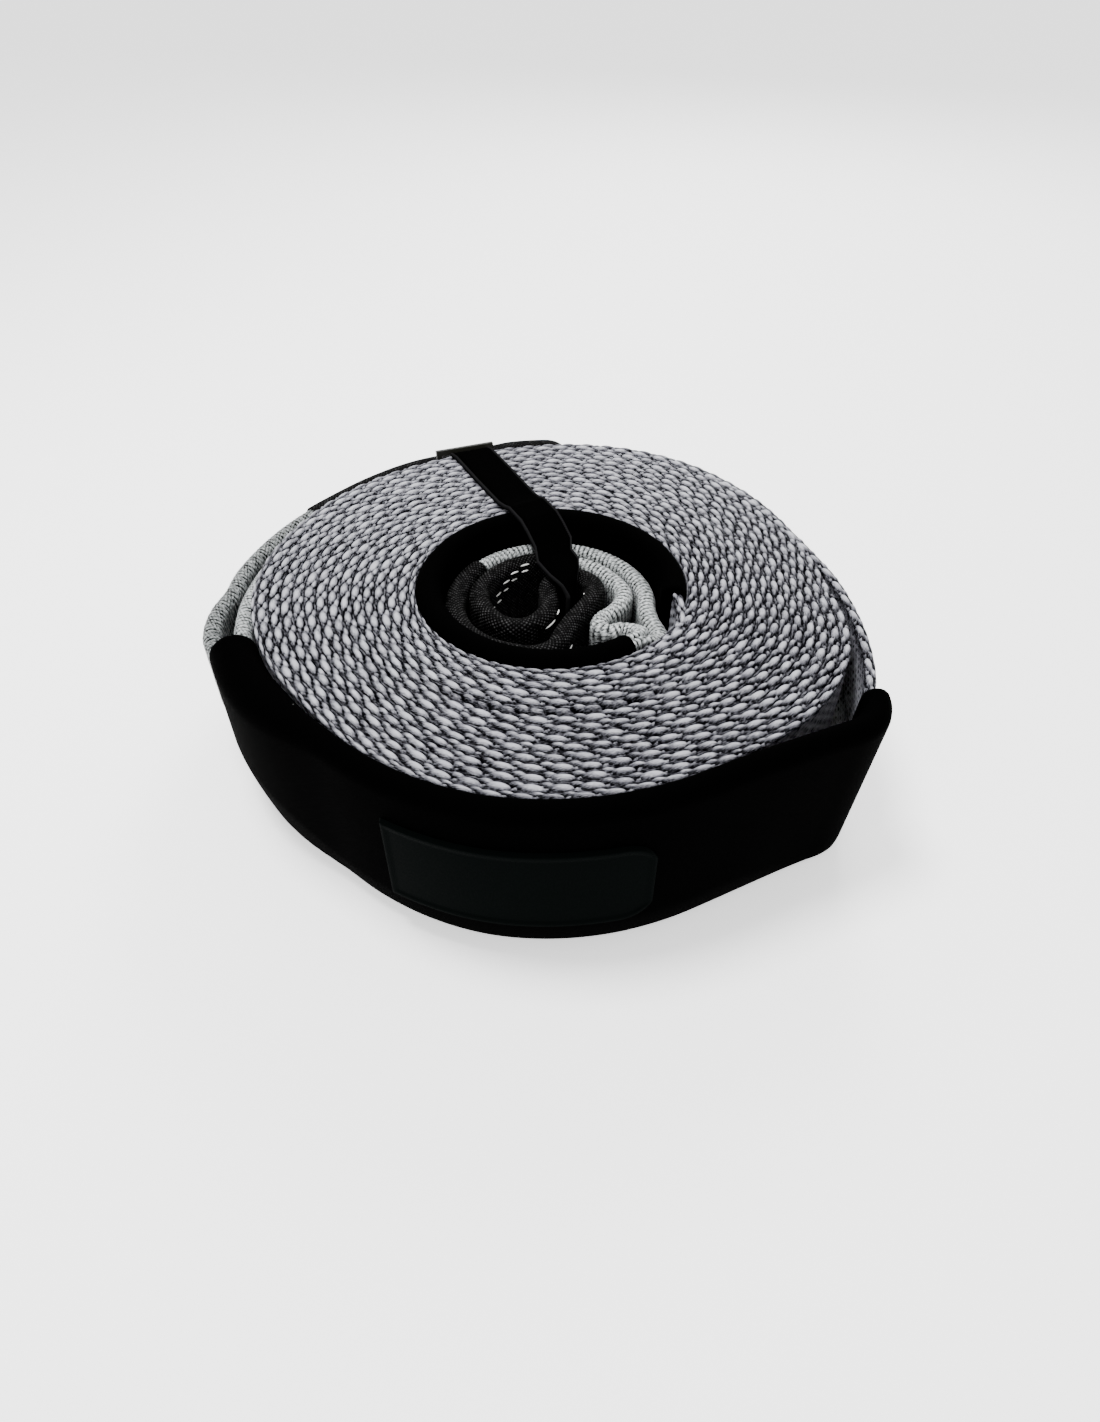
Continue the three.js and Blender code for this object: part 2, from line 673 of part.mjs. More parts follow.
function placeRing(ring) {
  const offset = (ringUpperOffset + ringLowerOffset) / 2;
  const centre = wallPlace(ringWallAngle, offset, (ringTop + ringLowerBar) / 2);
  ring.rotateX(Math.PI / 2 - ringLean);
  ring.rotateZ(radians(ringWallAngle - 90));
  ring.translate(centre.x, centre.y, centre.z);
  return ring;
}

// The patch: a curved rubber plate on the sleeve's front, square at its left end and round at its right
function labelPatch() {
  const angles = [patchStart, 250, 260, 270, 280, patchEnd - 2.6, patchEnd];
  const stations = angles.map((angle) => {
    const arcLeft = radians(patchEnd - angle) * (rimRadius + sleeveThickness);
    const into = Math.max(patchCornerRadius - arcLeft, 0);
    const cut = patchCornerRadius - Math.sqrt(patchCornerRadius ** 2 - into ** 2);
    const radius = alongFront(angle) + mouthHalf(angle) + seatGap + patchThickness / 2;
    const side = polar(angle, 1);
    return {
      point: polar(angle, radius), side, half: patchThickness / 2,
      low: patchLow + Math.min(cut, 10), high: patchHigh - Math.min(cut, 10),
    };
  });
  return toSolid(skin(stations.map((station) => standingSection(station))));
}

// The assembly
const group = new THREE.Group();

function addPiece(name, geometry, color, roughness) {
  const material = new THREE.MeshStandardMaterial({ color, roughness, metalness: 0 });
  const mesh = new THREE.Mesh(geometry, material);
  mesh.name = name;
  group.add(mesh);
}

addPiece("webbing", toGeometry(webbing()), 0x8f8f9b, 0.75);
addPiece("inner_sleeve", toGeometry(innerSleeve()), 0x0b0b0c, 0.9);
addPiece("outer_sleeve", toGeometry(outerSleeve()), 0x0b0b0c, 0.9);
addPiece("inner_eye_wrap", toGeometry(eyeWrap(innerEye)), 0x1d1d1e, 0.85);
addPiece("outer_eye_wrap", toGeometry(eyeWrap(outerEye)), 0x1d1d1e, 0.85);
addPiece("tie_strap", toGeometry(tieStrap()), 0x0a0a0b, 0.95);
addPiece("tie_ring", placeRing(tieRing()), 0x2e2e28, 0.5);
addPiece("label_patch", toGeometry(labelPatch()), 0x141716, 0.6);

// The origin goes to the middle of the object's footprint, at the level it rests on
const bounds = new THREE.Box3().setFromObject(group);
const footprint = bounds.getCenter(new THREE.Vector3());
group.position.set(-footprint.x, -footprint.y, -bounds.min.z);

export default group;
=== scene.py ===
import math

import bpy
import numpy as np
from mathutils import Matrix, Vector


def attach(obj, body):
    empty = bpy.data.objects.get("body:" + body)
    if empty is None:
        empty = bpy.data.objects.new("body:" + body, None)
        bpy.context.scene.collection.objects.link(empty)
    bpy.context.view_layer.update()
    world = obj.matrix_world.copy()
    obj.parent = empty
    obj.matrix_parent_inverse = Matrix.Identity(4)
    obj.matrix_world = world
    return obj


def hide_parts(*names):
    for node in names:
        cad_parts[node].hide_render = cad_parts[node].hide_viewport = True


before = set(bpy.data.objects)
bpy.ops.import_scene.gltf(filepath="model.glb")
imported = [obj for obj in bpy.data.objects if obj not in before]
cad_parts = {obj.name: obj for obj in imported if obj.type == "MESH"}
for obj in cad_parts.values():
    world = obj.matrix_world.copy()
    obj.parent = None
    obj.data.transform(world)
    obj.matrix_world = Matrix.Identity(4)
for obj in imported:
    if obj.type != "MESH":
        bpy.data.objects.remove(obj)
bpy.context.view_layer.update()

# Sizes in millimetres, in the roll's own plan. ROLL is where its centre lies in the row frame
MM = 0.001
ROLL = np.array([9.37, -9.72])

WEB_WIDTH = 75.0
WEB_THICK = 4.2
TURNS = 14
FULL_TURN = 360.0
PITCH = 4.76
BORE_R = 59.1
BORE = np.array([1.3, 1.3])
SPIRAL_START = 20.0
RIM_R = BORE_R + TURNS * PITCH
# How far the squashed rim stands out from its mean circle, every 20 degrees, in thousandths of it
RIM_BULGE = [-33, -33, 2, 38, 38, 5, 2, 14, 18, 18, -14, -45, -29, -9, -10, -12, 22, 28]

SEAT_GAP = 0.3
SLEEVE_H = 78.0
SLEEVE_T = 10.9
SPLICE_R = BORE_R - SEAT_GAP - SLEEVE_T / 2
SLEEVE_START = -10.0
SLEEVE_END = 306.0
BAND_LOW = 1.5
BAND_HIGH = 76.5

INNER_EYE_TOP = 66.0
OUTER_EYE_TOP = 64.0
# How far each eye stays flat from its sleeve, and the length over which it then folds
INNER_FLAT = 10.0
INNER_FOLD = 26.0
OUTER_FLAT = 42.0
OUTER_FOLD = 28.0
LEG_START = 0.5
UNDER_WRAP = 8.0
EYE_THICK = 8.4
WRAPPED_THICK = 7.4
WRAP_OUT = 0.95
WRAP_THICK = WRAPPED_THICK + 2 * WRAP_OUT
INNER_WRAP_REACH = 146.0
OUTER_WRAP_REACH = 146.0
INNER_GAP = 0.5
OUTER_GAP = 0.8
LEG_OFFSET = WEB_THICK / 2 - 0.3

TIE_POINT = np.array([-36.5, 109.4])
TIE_HEADING = -62.9
TIE_WALL = 109.35
TIE_WIDE = 21.0
TIE_BORE = 19.5
TIE_NARROW = 15.0
TIE_THICK = 1.8
RING_BAR_THICK = 2.4


# Plan helpers
def rad(degrees):
    return np.deg2rad(degrees)


def polar(angle, radius, centre=(0.0, 0.0)):
    a = rad(np.asarray(angle, float))
    return np.stack([centre[0] + radius * np.cos(a), centre[1] + radius * np.sin(a)], -1)


def rim_at(angle):
    bulge = np.array(RIM_BULGE)
    n = len(bulge)
    place = np.mod(np.asarray(angle, float), FULL_TURN) / (FULL_TURN / n)
    i = np.floor(place).astype(int)
    t = place - i
    before, here, ahead, beyond = (bulge[(i + k) % n] for k in (-1, 0, 1, 2))
    slope_in = (ahead - before) / 2
    slope_out = (beyond - here) / 2
    rise = ahead - here
    cubic = slope_in + slope_out - 2 * rise
    square = 3 * rise - 2 * slope_in - slope_out
    return RIM_R * (1 + (here + t * (slope_in + t * (square + t * cubic))) / 1000)


def blend(a, b, t):
    s = np.clip(t, 0, 1)
    return a + (b - a) * s * s * (3 - 2 * s)


def arc(start, end, radius_at, step, centre=(0.0, 0.0)):
    count = max(1, round(abs(end - start) / step))
    angles = start + (end - start) * np.arange(count + 1) / count
    radii = np.array([float(radius_at(a)) for a in angles])
    return polar(angles, radii, centre)


def smooth_route(points, spacing):
    """A centripetal spline through plan points, cut at an even spacing."""
    p = np.asarray(points, float)
    first = 2 * p[0] - p[1]
    last = 2 * p[-1] - p[-2]
    q = np.vstack([first, p, last])
    fine = []
    for k in range(1, len(q) - 2):
        p0, p1, p2, p3 = q[k - 1:k + 3]
        d0, d1, d2 = (max(np.linalg.norm(b - a), 1e-6) ** 0.5 for a, b in ((p0, p1), (p1, p2), (p2, p3)))
        m1 = ((p1 - p0) / d0 - (p2 - p0) / (d0 + d1) + (p2 - p1) / d1) * d1
        m2 = ((p2 - p1) / d1 - (p3 - p1) / (d1 + d2) + (p3 - p2) / d2) * d1
        t = np.linspace(0, 1, 24, endpoint=False)[:, None]
        c = 2 * p1 - 2 * p2 + m1 + m2
        b = -3 * p1 + 3 * p2 - 2 * m1 - m2
        fine.append(p1 + m1 * t + b * t * t + c * t ** 3)
    fine = np.vstack([*fine, p[-1:]])
    return even(fine, spacing)


def even(points, spacing):
    lengths = np.concatenate([[0], np.cumsum(np.linalg.norm(np.diff(points, axis=0), axis=1))])
    count = max(2, round(lengths[-1] / spacing))
    s = np.linspace(0, lengths[-1], count + 1)
    return np.stack([np.interp(s, lengths, points[:, k]) for k in range(points.shape[1])], -1)


def run_length(points):
    return np.concatenate([[0], np.cumsum(np.linalg.norm(np.diff(points, axis=0), axis=1))])


def right_side(points):
    """The unit vector to the right of travel at each point of a plan route."""
    along = np.gradient(points, axis=0)
    along /= np.linalg.norm(along, axis=1)[:, None]
    return np.stack([along[:, 1], -along[:, 0]], -1)


# Mesh helpers
def grid_faces(rows, columns, wrap=False):
    r = np.arange(rows - 1)[:, None]
    c = np.arange(columns if wrap else columns - 1)[None, :]
    d = (c + 1) % columns
    quads = np.stack([r * columns + c, r * columns + d, (r + 1) * columns + d, (r + 1) * columns + c], -1)
    return quads.reshape(-1, 4)


def build(name, points, faces, mat, attributes=None, uv=None):
    """A smooth mesh from points in millimetres in the roll's plan. Each attribute has one value a point."""
    world = np.array(points, float).reshape(-1, 3)
    world[:, :2] += ROLL
    mesh = bpy.data.meshes.new(name)
    mesh.from_pydata((world * MM).tolist(), [], [list(map(int, f)) for f in faces])
    for key, values in (attributes or {}).items():
        layer = mesh.attributes.new(key, "FLOAT", "POINT")
        layer.data.foreach_set("value", np.asarray(values, np.float32).ravel())
    if uv is not None:
        layer = mesh.attributes.new("cloth", "FLOAT_VECTOR", "POINT")
        flat = np.zeros((len(world), 3), np.float32)
        flat[:, :2] = np.asarray(uv, np.float32).reshape(-1, 2)
        layer.data.foreach_set("vector", flat.ravel())
    mesh.polygons.foreach_set("use_smooth", [True] * len(mesh.polygons))
    mesh.update()
    mesh.materials.append(mat)
    made = bpy.data.objects.new(name, mesh)
    bpy.context.scene.collection.objects.link(made)
    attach(made, "root")
    return made


# Materials
def material(name, color, roughness, specular):
    made = bpy.data.materials.new(name)
    made.use_nodes = True
    shader = made.node_tree.nodes["Principled BSDF"]
    shader.inputs["Base Color"].default_value = (*color, 1)
    shader.inputs["Roughness"].default_value = roughness
    shader.inputs["Specular IOR Level"].default_value = specular
    return made, made.node_tree.nodes, made.node_tree.links, shader


def node(nodes, kind, **values):
    made = nodes.new(kind)
    for key, value in values.items():
        setattr(made, key, value)
    return made


def attribute(nodes, name):
    return node(nodes, "ShaderNodeAttribute", attribute_name=name)


def math_node(nodes, links, operation, a, b=None):
    made = node(nodes, "ShaderNodeMath", operation=operation)
    for index, value in enumerate((a, b)):
        if value is None:
            continue
        if isinstance(value, (int, float)):
            made.inputs[index].default_value = value
        else:
            links.new(value, made.inputs[index])
    return made.outputs[0]


def stretched_noise(nodes, links, scale, vector=None, detail=3.0, roughness=0.6):
    """Noise over the cloth's own length and width, stretched by scale."""
    source = vector or attribute(nodes, "cloth").outputs["Vector"]
    mapping = node(nodes, "ShaderNodeMapping")
    mapping.inputs["Scale"].default_value = (*scale, 1)
    links.new(source, mapping.inputs["Vector"])
    noise = node(nodes, "ShaderNodeTexNoise")
    noise.inputs["Scale"].default_value = 1.0
    noise.inputs["Detail"].default_value = detail
    noise.inputs["Roughness"].default_value = roughness
    links.new(mapping.outputs[0], noise.inputs["Vector"])
    return noise.outputs["Fac"]


def ramp(nodes, links, value, stops):
    made = node(nodes, "ShaderNodeValToRGB")
    band = made.color_ramp
    while len(band.elements) < len(stops):
        band.elements.new(0.5)
    for element, (place, color) in zip(band.elements, stops):
        element.position = place
        element.color = (*color, 1)
    links.new(value, made.inputs["Fac"])
    return made.outputs["Color"]


def bump(nodes, links, shader, height, strength, distance):
    made = node(nodes, "ShaderNodeBump")
    made.inputs["Strength"].default_value = strength
    made.inputs["Distance"].default_value = distance
    links.new(height, made.inputs["Height"])
    links.new(made.outputs["Normal"], shader.inputs["Normal"])


def yarn_material(name, dark, middle, light):
    made, nodes, links, shader = material(name, middle, 0.34, 0.6)
    depth = attribute(nodes, "depth").outputs["Fac"]
    tone_and_painted_light = attribute(nodes, "tone_and_painted_light").outputs["Fac"]
    fibre = stretched_noise(nodes, links, (0.55, 5.0), detail=4.0, roughness=0.7)
    patchy = stretched_noise(nodes, links, (0.16, 0.4), detail=2.0)
    streak = math_node(nodes, links, "MULTIPLY", math_node(nodes, links, "SUBTRACT", fibre, 0.5), 1.7)
    cloud = math_node(nodes, links, "MULTIPLY", math_node(nodes, links, "SUBTRACT", patchy, 0.5), 0.5)
    wear = math_node(nodes, links, "ADD", streak, cloud)
    # Painted light: the colour follows the relief's height, near black as painted shade in low pits and gaps
    # and light on raised tops, times a tone that carries painted highlights and painted shade.
    level = math_node(nodes, links, "ADD", math_node(nodes, links, "MULTIPLY", depth, tone_and_painted_light), wear)
    color = ramp(nodes, links, level, [(0.24, dark), (0.55, middle), (1.0, light)])
    links.new(color, shader.inputs["Base Color"])
    shine = ramp(nodes, links, level, [(0.3, (0.0, 0.0, 0.0)), (0.9, (0.85, 0.85, 0.85))])
    links.new(shine, shader.inputs["Specular IOR Level"])
    bump(nodes, links, shader, fibre, 0.9, 0.0007)
    return made


WRAP_THREAD = 0.95


def cordura_material(name, dark, light):
    made, nodes, links, shader = material(name, dark, 0.6, 0.02)
    cloth = attribute(nodes, "cloth").outputs["Vector"]
    split = node(nodes, "ShaderNodeSeparateXYZ")
    links.new(cloth, split.inputs[0])
    u, v = split.outputs[0], split.outputs[1]
    step = math.pi / WRAP_THREAD
    warp = math_node(nodes, links, "SINE", math_node(nodes, links, "MULTIPLY", u, step))
    weft = math_node(nodes, links, "SINE", math_node(nodes, links, "MULTIPLY", v, step))
    check = math_node(nodes, links, "MULTIPLY", warp, weft)
    wave = math_node(nodes, links, "ADD", math_node(nodes, links, "MULTIPLY", check, 0.5), 0.5)
    noise = stretched_noise(nodes, links, (0.35, 0.35))
    level = math_node(nodes, links, "MULTIPLY", wave, math_node(nodes, links, "MULTIPLY", noise, 1.6))
    color = ramp(nodes, links, level, [(0.5, dark), (1.0, light)])
    links.new(color, shader.inputs["Base Color"])
    bump(nodes, links, shader, wave, 0.8, 0.0004)
    return made


CLOTH_SPECULAR = 0.003


def black_cloth_material(name, color, roughness, grain, strength):
    made, nodes, links, shader = material(name, color, roughness, CLOTH_SPECULAR)
    fine = stretched_noise(nodes, links, (grain, grain))
    bump(nodes, links, shader, fine, strength, 0.0004)
    return made


YARN = yarn_material("woven_yarn", (0.001, 0.001, 0.0015), (0.1, 0.1, 0.118), (0.42, 0.42, 0.46))
EYE_YARN = yarn_material("eye_yarn", (0.0005, 0.0008, 0.0008), (0.09, 0.097, 0.097), (0.62, 0.65, 0.65))
SLEEVE = black_cloth_material("sleeve_cloth", (0.0002, 0.0002, 0.0002), 0.8, 2.2, 0.25)
WRAP = cordura_material("wrap_cloth", (0.0001, 0.0001, 0.0001), (0.042, 0.042, 0.042))
PILE = black_cloth_material("tie_pile", (0.0002, 0.0002, 0.0002), 0.95, 4.0, 0.5)
TIE_EDGE = black_cloth_material("tie_edge", (0.006, 0.006, 0.0063), 0.8, 3.0, 0.5)
RUBBER = black_cloth_material("patch_rubber", (0.0007, 0.0012, 0.0011), 0.5, 1.2, 0.12)
THREAD = black_cloth_material("white_thread", (0.62, 0.62, 0.6), 0.6, 6.0, 0.4)
RING, ring_nodes, ring_links, ring_shader = material("ring_plastic", (0.008, 0.008, 0.006), 0.42, 0.15)
coordinates = node(ring_nodes, "ShaderNodeTexCoord")
ring_grain = stretched_noise(ring_nodes, ring_links, (900, 900), coordinates.outputs["Object"])
bump(ring_nodes, ring_links, ring_shader, ring_grain, 0.2, 0.0003)


# The woven edge: rows of leaf-shaped yarns that repeat in every cycle along a turn
CYCLE = 10.6
EDGE_DEPTH = 1.9
EDGE_COLUMNS = 9
EDGE_STEP = 0.72
LOOSE_GAP_DEPTH = 6.0
# Each row's height, start, length, centre across the turn, slant, half width and salt for its chances
LEAF_ROWS = [
    (1.0, 0.0, 0.94, 0.08, 0.2, 0.33, 0.0),
    (0.86, 0.64, 0.58, -0.25, 0.14, 0.22, 2.0),
    (0.8, 0.84, 0.30, 0.34, -0.34, 0.13, 4.0),
    (0.5, 0.1, 0.75, -0.42, 0.05, 0.13, 6.0),
    (0.5, 0.45, 0.8, 0.44, 0.05, 0.1, 8.0),
]


def chance(index, salt):
    value = np.sin(index * 12.9898 + salt * 78.233) * 43758.5453
    return value - np.floor(value)


def leaf(place, v, index, start, length, centre, slant, half, salt):
    """Height share (0 to 1) and tone of one row of yarns, fat at their near ends, where a painted highlight
    is brightest.
    """
    s = (place - index - start - 0.08 * (chance(index, salt) - 0.5)) / length
    inside = np.clip(s, 0, 1)
    fat = np.sin(np.pi * inside ** 0.8) ** 0.7
    width = half * (0.25 + 0.75 * fat) * (0.9 + 0.2 * chance(index, salt + 1.3))
    across = (v - centre - slant * (0.5 - inside)) / width
    lump = np.sqrt(np.clip(1 - across ** 2, 0, 1)) * fat ** 0.8
    # Painted highlight: lighter at each yarn's near end and darker towards its far end, with a random tone
    # on top.
    painted_highlight_and_tone = 1.3 - 0.8 * inside + 0.3 * (chance(index, salt + 5.1) - 0.5)
    return np.where((s > 0) & (s < 1), lump, 0.0), painted_highlight_and_tone


def edge_relief(u, v, turn):
    """Height share and tone of the edge's yarns at length u, and v from -0.5 to 0.5 across the turn; the
    tone holds the painted highlights.
    """
    place = u / CYCLE + turn * 0.37
    index = np.floor(place)
    best = np.full(np.broadcast(u, v).shape, 0.0)
    tone_and_painted_light = np.ones(best.shape)
    for shift in (-2, -1, 0, 1):
        for tall, *row in LEAF_ROWS:
            height, painted_highlight_and_tone = leaf(place, v, index + shift, *row)
            higher = tall * height > best
            tone_and_painted_light = np.where(higher, painted_highlight_and_tone, tone_and_painted_light)
            best = np.where(higher, tall * height, best)
    return best, tone_and_painted_light


def edge_strip(name, route, side, thick, top, level, turn, gap=None):
    """The woven edge of webbing along a plan route, facing up when level is 1 and down when it is -1."""
    u = run_length(route)
    v = np.linspace(-0.5, 0.5, EDGE_COLUMNS)
    uu, vv = np.meshgrid(u, v, indexing="ij")
    share, tone_and_painted_light = edge_relief(uu, vv, turn)
    lip = 1 - np.clip((np.abs(vv) - 0.38) / 0.12, 0, 1) ** 2
    # Painted shade: the height share, which also sets the colour, is lowered towards the turn's sides, so
    # the joins between turns are coloured darker.
    share = share * (0.6 + 0.4 * lip)
    drop = EDGE_DEPTH * (1 - share) + 0.15 * (1 - lip)
    if gap is not None:
        open_share = gap(vv)
        drop = drop + LOOSE_GAP_DEPTH * open_share
        # Painted shade: the loose gap is coloured dark as well as sunk.
        share = share * (1 - open_share)
    width = np.broadcast_to(thick, (len(u),))
    across = vv * width[:, None]
    points = np.zeros((len(u), EDGE_COLUMNS, 3))
    points[..., 0] = route[:, 0:1] + side[:, 0:1] * across
    points[..., 1] = route[:, 1:2] + side[:, 1:2] * across
    points[..., 2] = top - level * drop
    faces = grid_faces(len(u), EDGE_COLUMNS)
    if level > 0:
        faces = faces[:, ::-1]
    cloth = np.stack([uu, vv * PITCH], -1)
    return build(name, points, faces, YARN, {"depth": np.clip(share, 0, 1), "tone_and_painted_light": tone_and_painted_light}, cloth)


def spiral_place(tau, share):
    """Plan points at tau turns from the spiral's inner end; share is 0 at the bore and 1 at the rim."""
    angle = SPIRAL_START - tau * FULL_TURN
    bore = polar(angle, BORE_R, BORE)
    rim = polar(angle, rim_at(angle))
    return bore + (rim - bore) * share[..., None]


# One looser gap between turns shows at the roll's front
GAP_ANGLE = 268.0
GAP_HALF_ANGLE = 30.0
GAP_AFTER_TURNS = 5.0


def roll_edges(name, level, spacing):
    fine = np.linspace(-1, TURNS, 6000)
    low = np.clip(fine, 0, TURNS)
    high = np.clip(fine + 1, 0, TURNS)
    middle = spiral_place(fine, (low + high) / 2 / TURNS)
    lengths = run_length(middle)
    tau = np.interp(np.arange(0, lengths[-1], spacing), lengths, fine)
    low = np.clip(tau, 0, TURNS) / TURNS
    high = np.clip(tau + 1, 0, TURNS) / TURNS
    inner = spiral_place(tau, low)
    outer = spiral_place(tau, high)
    route = (inner + outer) / 2
    across = outer - inner
    thick = np.linalg.norm(across, axis=1)
    side = across / np.maximum(thick, 1e-6)[:, None]

    def loose_gap(vv):
        angle = np.mod(SPIRAL_START - tau * FULL_TURN, FULL_TURN)[:, None]
        window = np.exp(-((angle - GAP_ANGLE) / GAP_HALF_ANGLE) ** 4)
        after = np.exp(-(((tau[:, None] + 0.5 + vv) - GAP_AFTER_TURNS) / 0.2) ** 2)
        return window * after

    top = WEB_WIDTH if level > 0 else 0.0
    return edge_strip(name, route, side, thick + 0.1, top, level, 0.0, gap=loose_gap)


roll_top = roll_edges("webbing_turns_top", 1, EDGE_STEP)
roll_edges("webbing_turns_bottom", -1, 1.9)
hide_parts("webbing")


# The woven face of the webbing: rows of slanted floats, used on walls and on the folded eyes
def face_relief(u, v, row=1.75, run=6.2, slope=0.22):
    lane = np.floor(v / row)
    in_lane = v / row - lane - 0.5
    shifted = u / run + lane * 0.37 + in_lane * slope + 0.06 * np.sin(lane * 2.3 + u * 0.11)
    along = shifted - np.floor(shifted)
    body = np.sin(np.pi * along ** 0.8) ** 0.6
    across = np.sqrt(np.clip(1 - (in_lane / 0.56) ** 2, 0, 1))
    return np.clip(body * across, 0, 1)


WALL_RELIEF = 0.45
WALL_ROWS = 44


def wall(name, route, offset, low, high):
    """A standing woven wall along a plan route, moved offset to the right of travel."""
    side = right_side(route)
    u = run_length(route)
    z = np.linspace(low, high, WALL_ROWS)
    uu, zz = np.meshgrid(u, z, indexing="ij")
    share = face_relief(uu, zz)
    push = offset + np.sign(offset) * WALL_RELIEF * (share - 1)
    points = np.zeros((len(u), WALL_ROWS, 3))
    points[..., 0] = route[:, 0:1] + side[:, 0:1] * push
    points[..., 1] = route[:, 1:2] + side[:, 1:2] * push
    points[..., 2] = zz
    faces = grid_faces(len(u), WALL_ROWS)
    if offset < 0:
        faces = faces[:, ::-1]
    tone_and_painted_light = np.full(share.shape, 0.85)
    cloth = np.stack([uu, zz], -1)
    return build(name, points, faces, YARN, {"depth": share, "tone_and_painted_light": tone_and_painted_light}, cloth)


FACE_SKIN = 0.001
TURN_LOW = 1.2
TURN_HIGH = 73.6
ROUND = np.arange(0, FULL_TURN + 1, 1.0)
rim_route = even(polar(ROUND, rim_at(ROUND)), 1.3)
bore_route = even(polar(ROUND, BORE_R, BORE), 1.3)
wall("webbing_outer_turn", rim_route, FACE_SKIN, TURN_LOW, TURN_HIGH)
wall("webbing_inner_turn", bore_route, -FACE_SKIN, TURN_LOW, TURN_HIGH)


# Strands of the eyes: folded webbing, flat where they come out of a sleeve
def strand_shape(length, total, flat, fold, top, tip, reach, extra):
    from_end = np.minimum(length, total - length)
    folded = (from_end - flat) / fold
    wrapped = (reach + 6 - np.abs(length - tip)) / 8
    opened = blend(WEB_THICK, EYE_THICK, folded)
    half = blend(opened, WRAPPED_THICK, wrapped) / 2 + extra
    low = blend(BAND_LOW, top - WEB_WIDTH / 2, folded) - extra
    high = blend(BAND_HIGH, top, folded) + extra
    return half, low, high


def place_on(route, s):
    """Plan points of a route at the lengths s, and the unit vectors to the right of travel there."""
    lengths = run_length(route)
    sides = right_side(route)
    centre = np.stack([np.interp(s, lengths, route[:, k]) for k in (0, 1)], -1)
    side = np.stack([np.interp(s, lengths, sides[:, k]) for k in (0, 1)], -1)
    return centre, side / np.linalg.norm(side, axis=1)[:, None]


TOP_ROUND = 0.98
LOW_ROUND = 0.5


def section(half, low, high, around):
    """A standing strand's section: lengths round it, places across and up, and the outward directions."""
    top_r = half * TOP_ROUND
    low_r = half * LOW_ROUND
    straight = max(high - low - top_r - low_r, 0.1)
    top_arc = math.pi * half * TOP_ROUND
    low_arc = 2 * half * 0.9 + low_r * 1.2
    d = np.linspace(0, 1, around, endpoint=False) * (2 * straight + top_arc + low_arc)
    x, z, nx, nz = np.zeros((4, around))
    up = d < straight
    over = (d >= straight) & (d < straight + top_arc)
    down = (d >= straight + top_arc) & (d < 2 * straight + top_arc)
    under = d >= 2 * straight + top_arc
    x[up] = half
    z[up] = low + low_r + d[up]
    nx[up] = 1
    a = (d[over] - straight) / top_arc * math.pi
    x[over] = half * np.cos(a)
    z[over] = high - top_r + top_r * np.sin(a)
    nx[over] = np.cos(a)
    nz[over] = np.sin(a)
    x[down] = -half
    z[down] = high - top_r - (d[down] - straight - top_arc)
    nx[down] = -1
    b = (d[under] - 2 * straight - top_arc) / low_arc * math.pi
    x[under] = -half * np.cos(b)
    z[under] = low + low_r - low_r * np.sin(b)
    nx[under] = -np.cos(b)
    nz[under] = -np.sin(b)
    return d, x, z, nx, nz


ROUNDING = np.array([0.0, 0.03, 0.1, 0.22, 0.4, 0.65, 1.0])
KNIT_DEPTH = 0.7
SHADED_SIDE_TONE = 0.55
LIT_TOP_TONE = 1.15


def strand_skin(name, route, shape, start, end, mat, slot, around, spacing, relief=None, lean=None,
                end_round=0.0, lightness=1.0, fading=0.03):
    """A closed skin round a standing strand between two lengths of its route.

    relief gives the cloth's height share, lean moves points sideways, end_round rounds both ends off, and
    the last two set painted shade: an overall darkening and a fall of tone down the strand's sides.
    """
    s = np.arange(start, end, spacing)
    if end_round:
        between = s[(s > start + end_round) & (s < end - end_round)]
        s = np.unique(np.concatenate([start + ROUNDING * end_round, between, end - ROUNDING * end_round]))
    centre, side = place_on(route, s)
    half, low, high = shape(s)
    points = np.zeros((len(s), around, 3))
    depth = np.ones((len(s), around))
    tone_and_painted_light = np.ones((len(s), around))
    cloth = np.zeros((len(s), around, 2))
    for k in range(len(s)):
        d, x, z, nx, nz = section(half[k], low[k], high[k], around)
        if relief:
            depth[k] = relief(s[k], d)
        push = KNIT_DEPTH * (depth[k] - 1)
        near_end = min(s[k] - start, s[-1] - s[k]) / end_round if end_round else 1.0
        if near_end < 1:
            push = push - end_round * 0.5 * (1 - math.sqrt(1 - (1 - near_end) ** 2))
        across = x + nx * push
        if lean is not None:
            across = across + lean(s[k], x / half[k], z)
        points[k, :, :2] = centre[k] + side[k] * across[:, None]
        points[k, :, 2] = z + nz * push
        # Painted shade: the tone is brightest at the strand's top and falls down its sides, times an overall
        # darkening factor.
        tone_and_painted_light[k] = lightness * np.clip(LIT_TOP_TONE - fading * (high[k] - z), SHADED_SIDE_TONE, LIT_TOP_TONE)
        cloth[k, :, 0] = s[k]
        cloth[k, :, 1] = d
    faces = list(map(tuple, grid_faces(len(s), around, wrap=True)))
    first = tuple(range(around))
    last = tuple(reversed(range((len(s) - 1) * around, len(s) * around)))
    faces += [first[::-1], last[::-1]]
    if mat is EYE_YARN:
        length, round_it = cloth[..., 0], cloth[..., 1]
        cloth = np.stack([round_it + 0.55 * length, length - 0.3 * round_it], -1)
    return build(name, points, faces, mat, {"depth": depth, "tone_and_painted_light": tone_and_painted_light}, cloth)


# The inner eye
outer_strand_r = BORE_R - 3 * SEAT_GAP - SLEEVE_T - WRAP_THICK / 2
inner_strand_r = outer_strand_r - WRAP_THICK - INNER_GAP


def from_bore(*pairs):
    return BORE + BORE_R * np.array(pairs, float)


def from_rim(*pairs):
    return RIM_R * np.array(pairs, float)


def round_rim(*pairs):
    places = np.array(pairs, float)
    return polar(places[:, 0], RIM_R * places[:, 1])


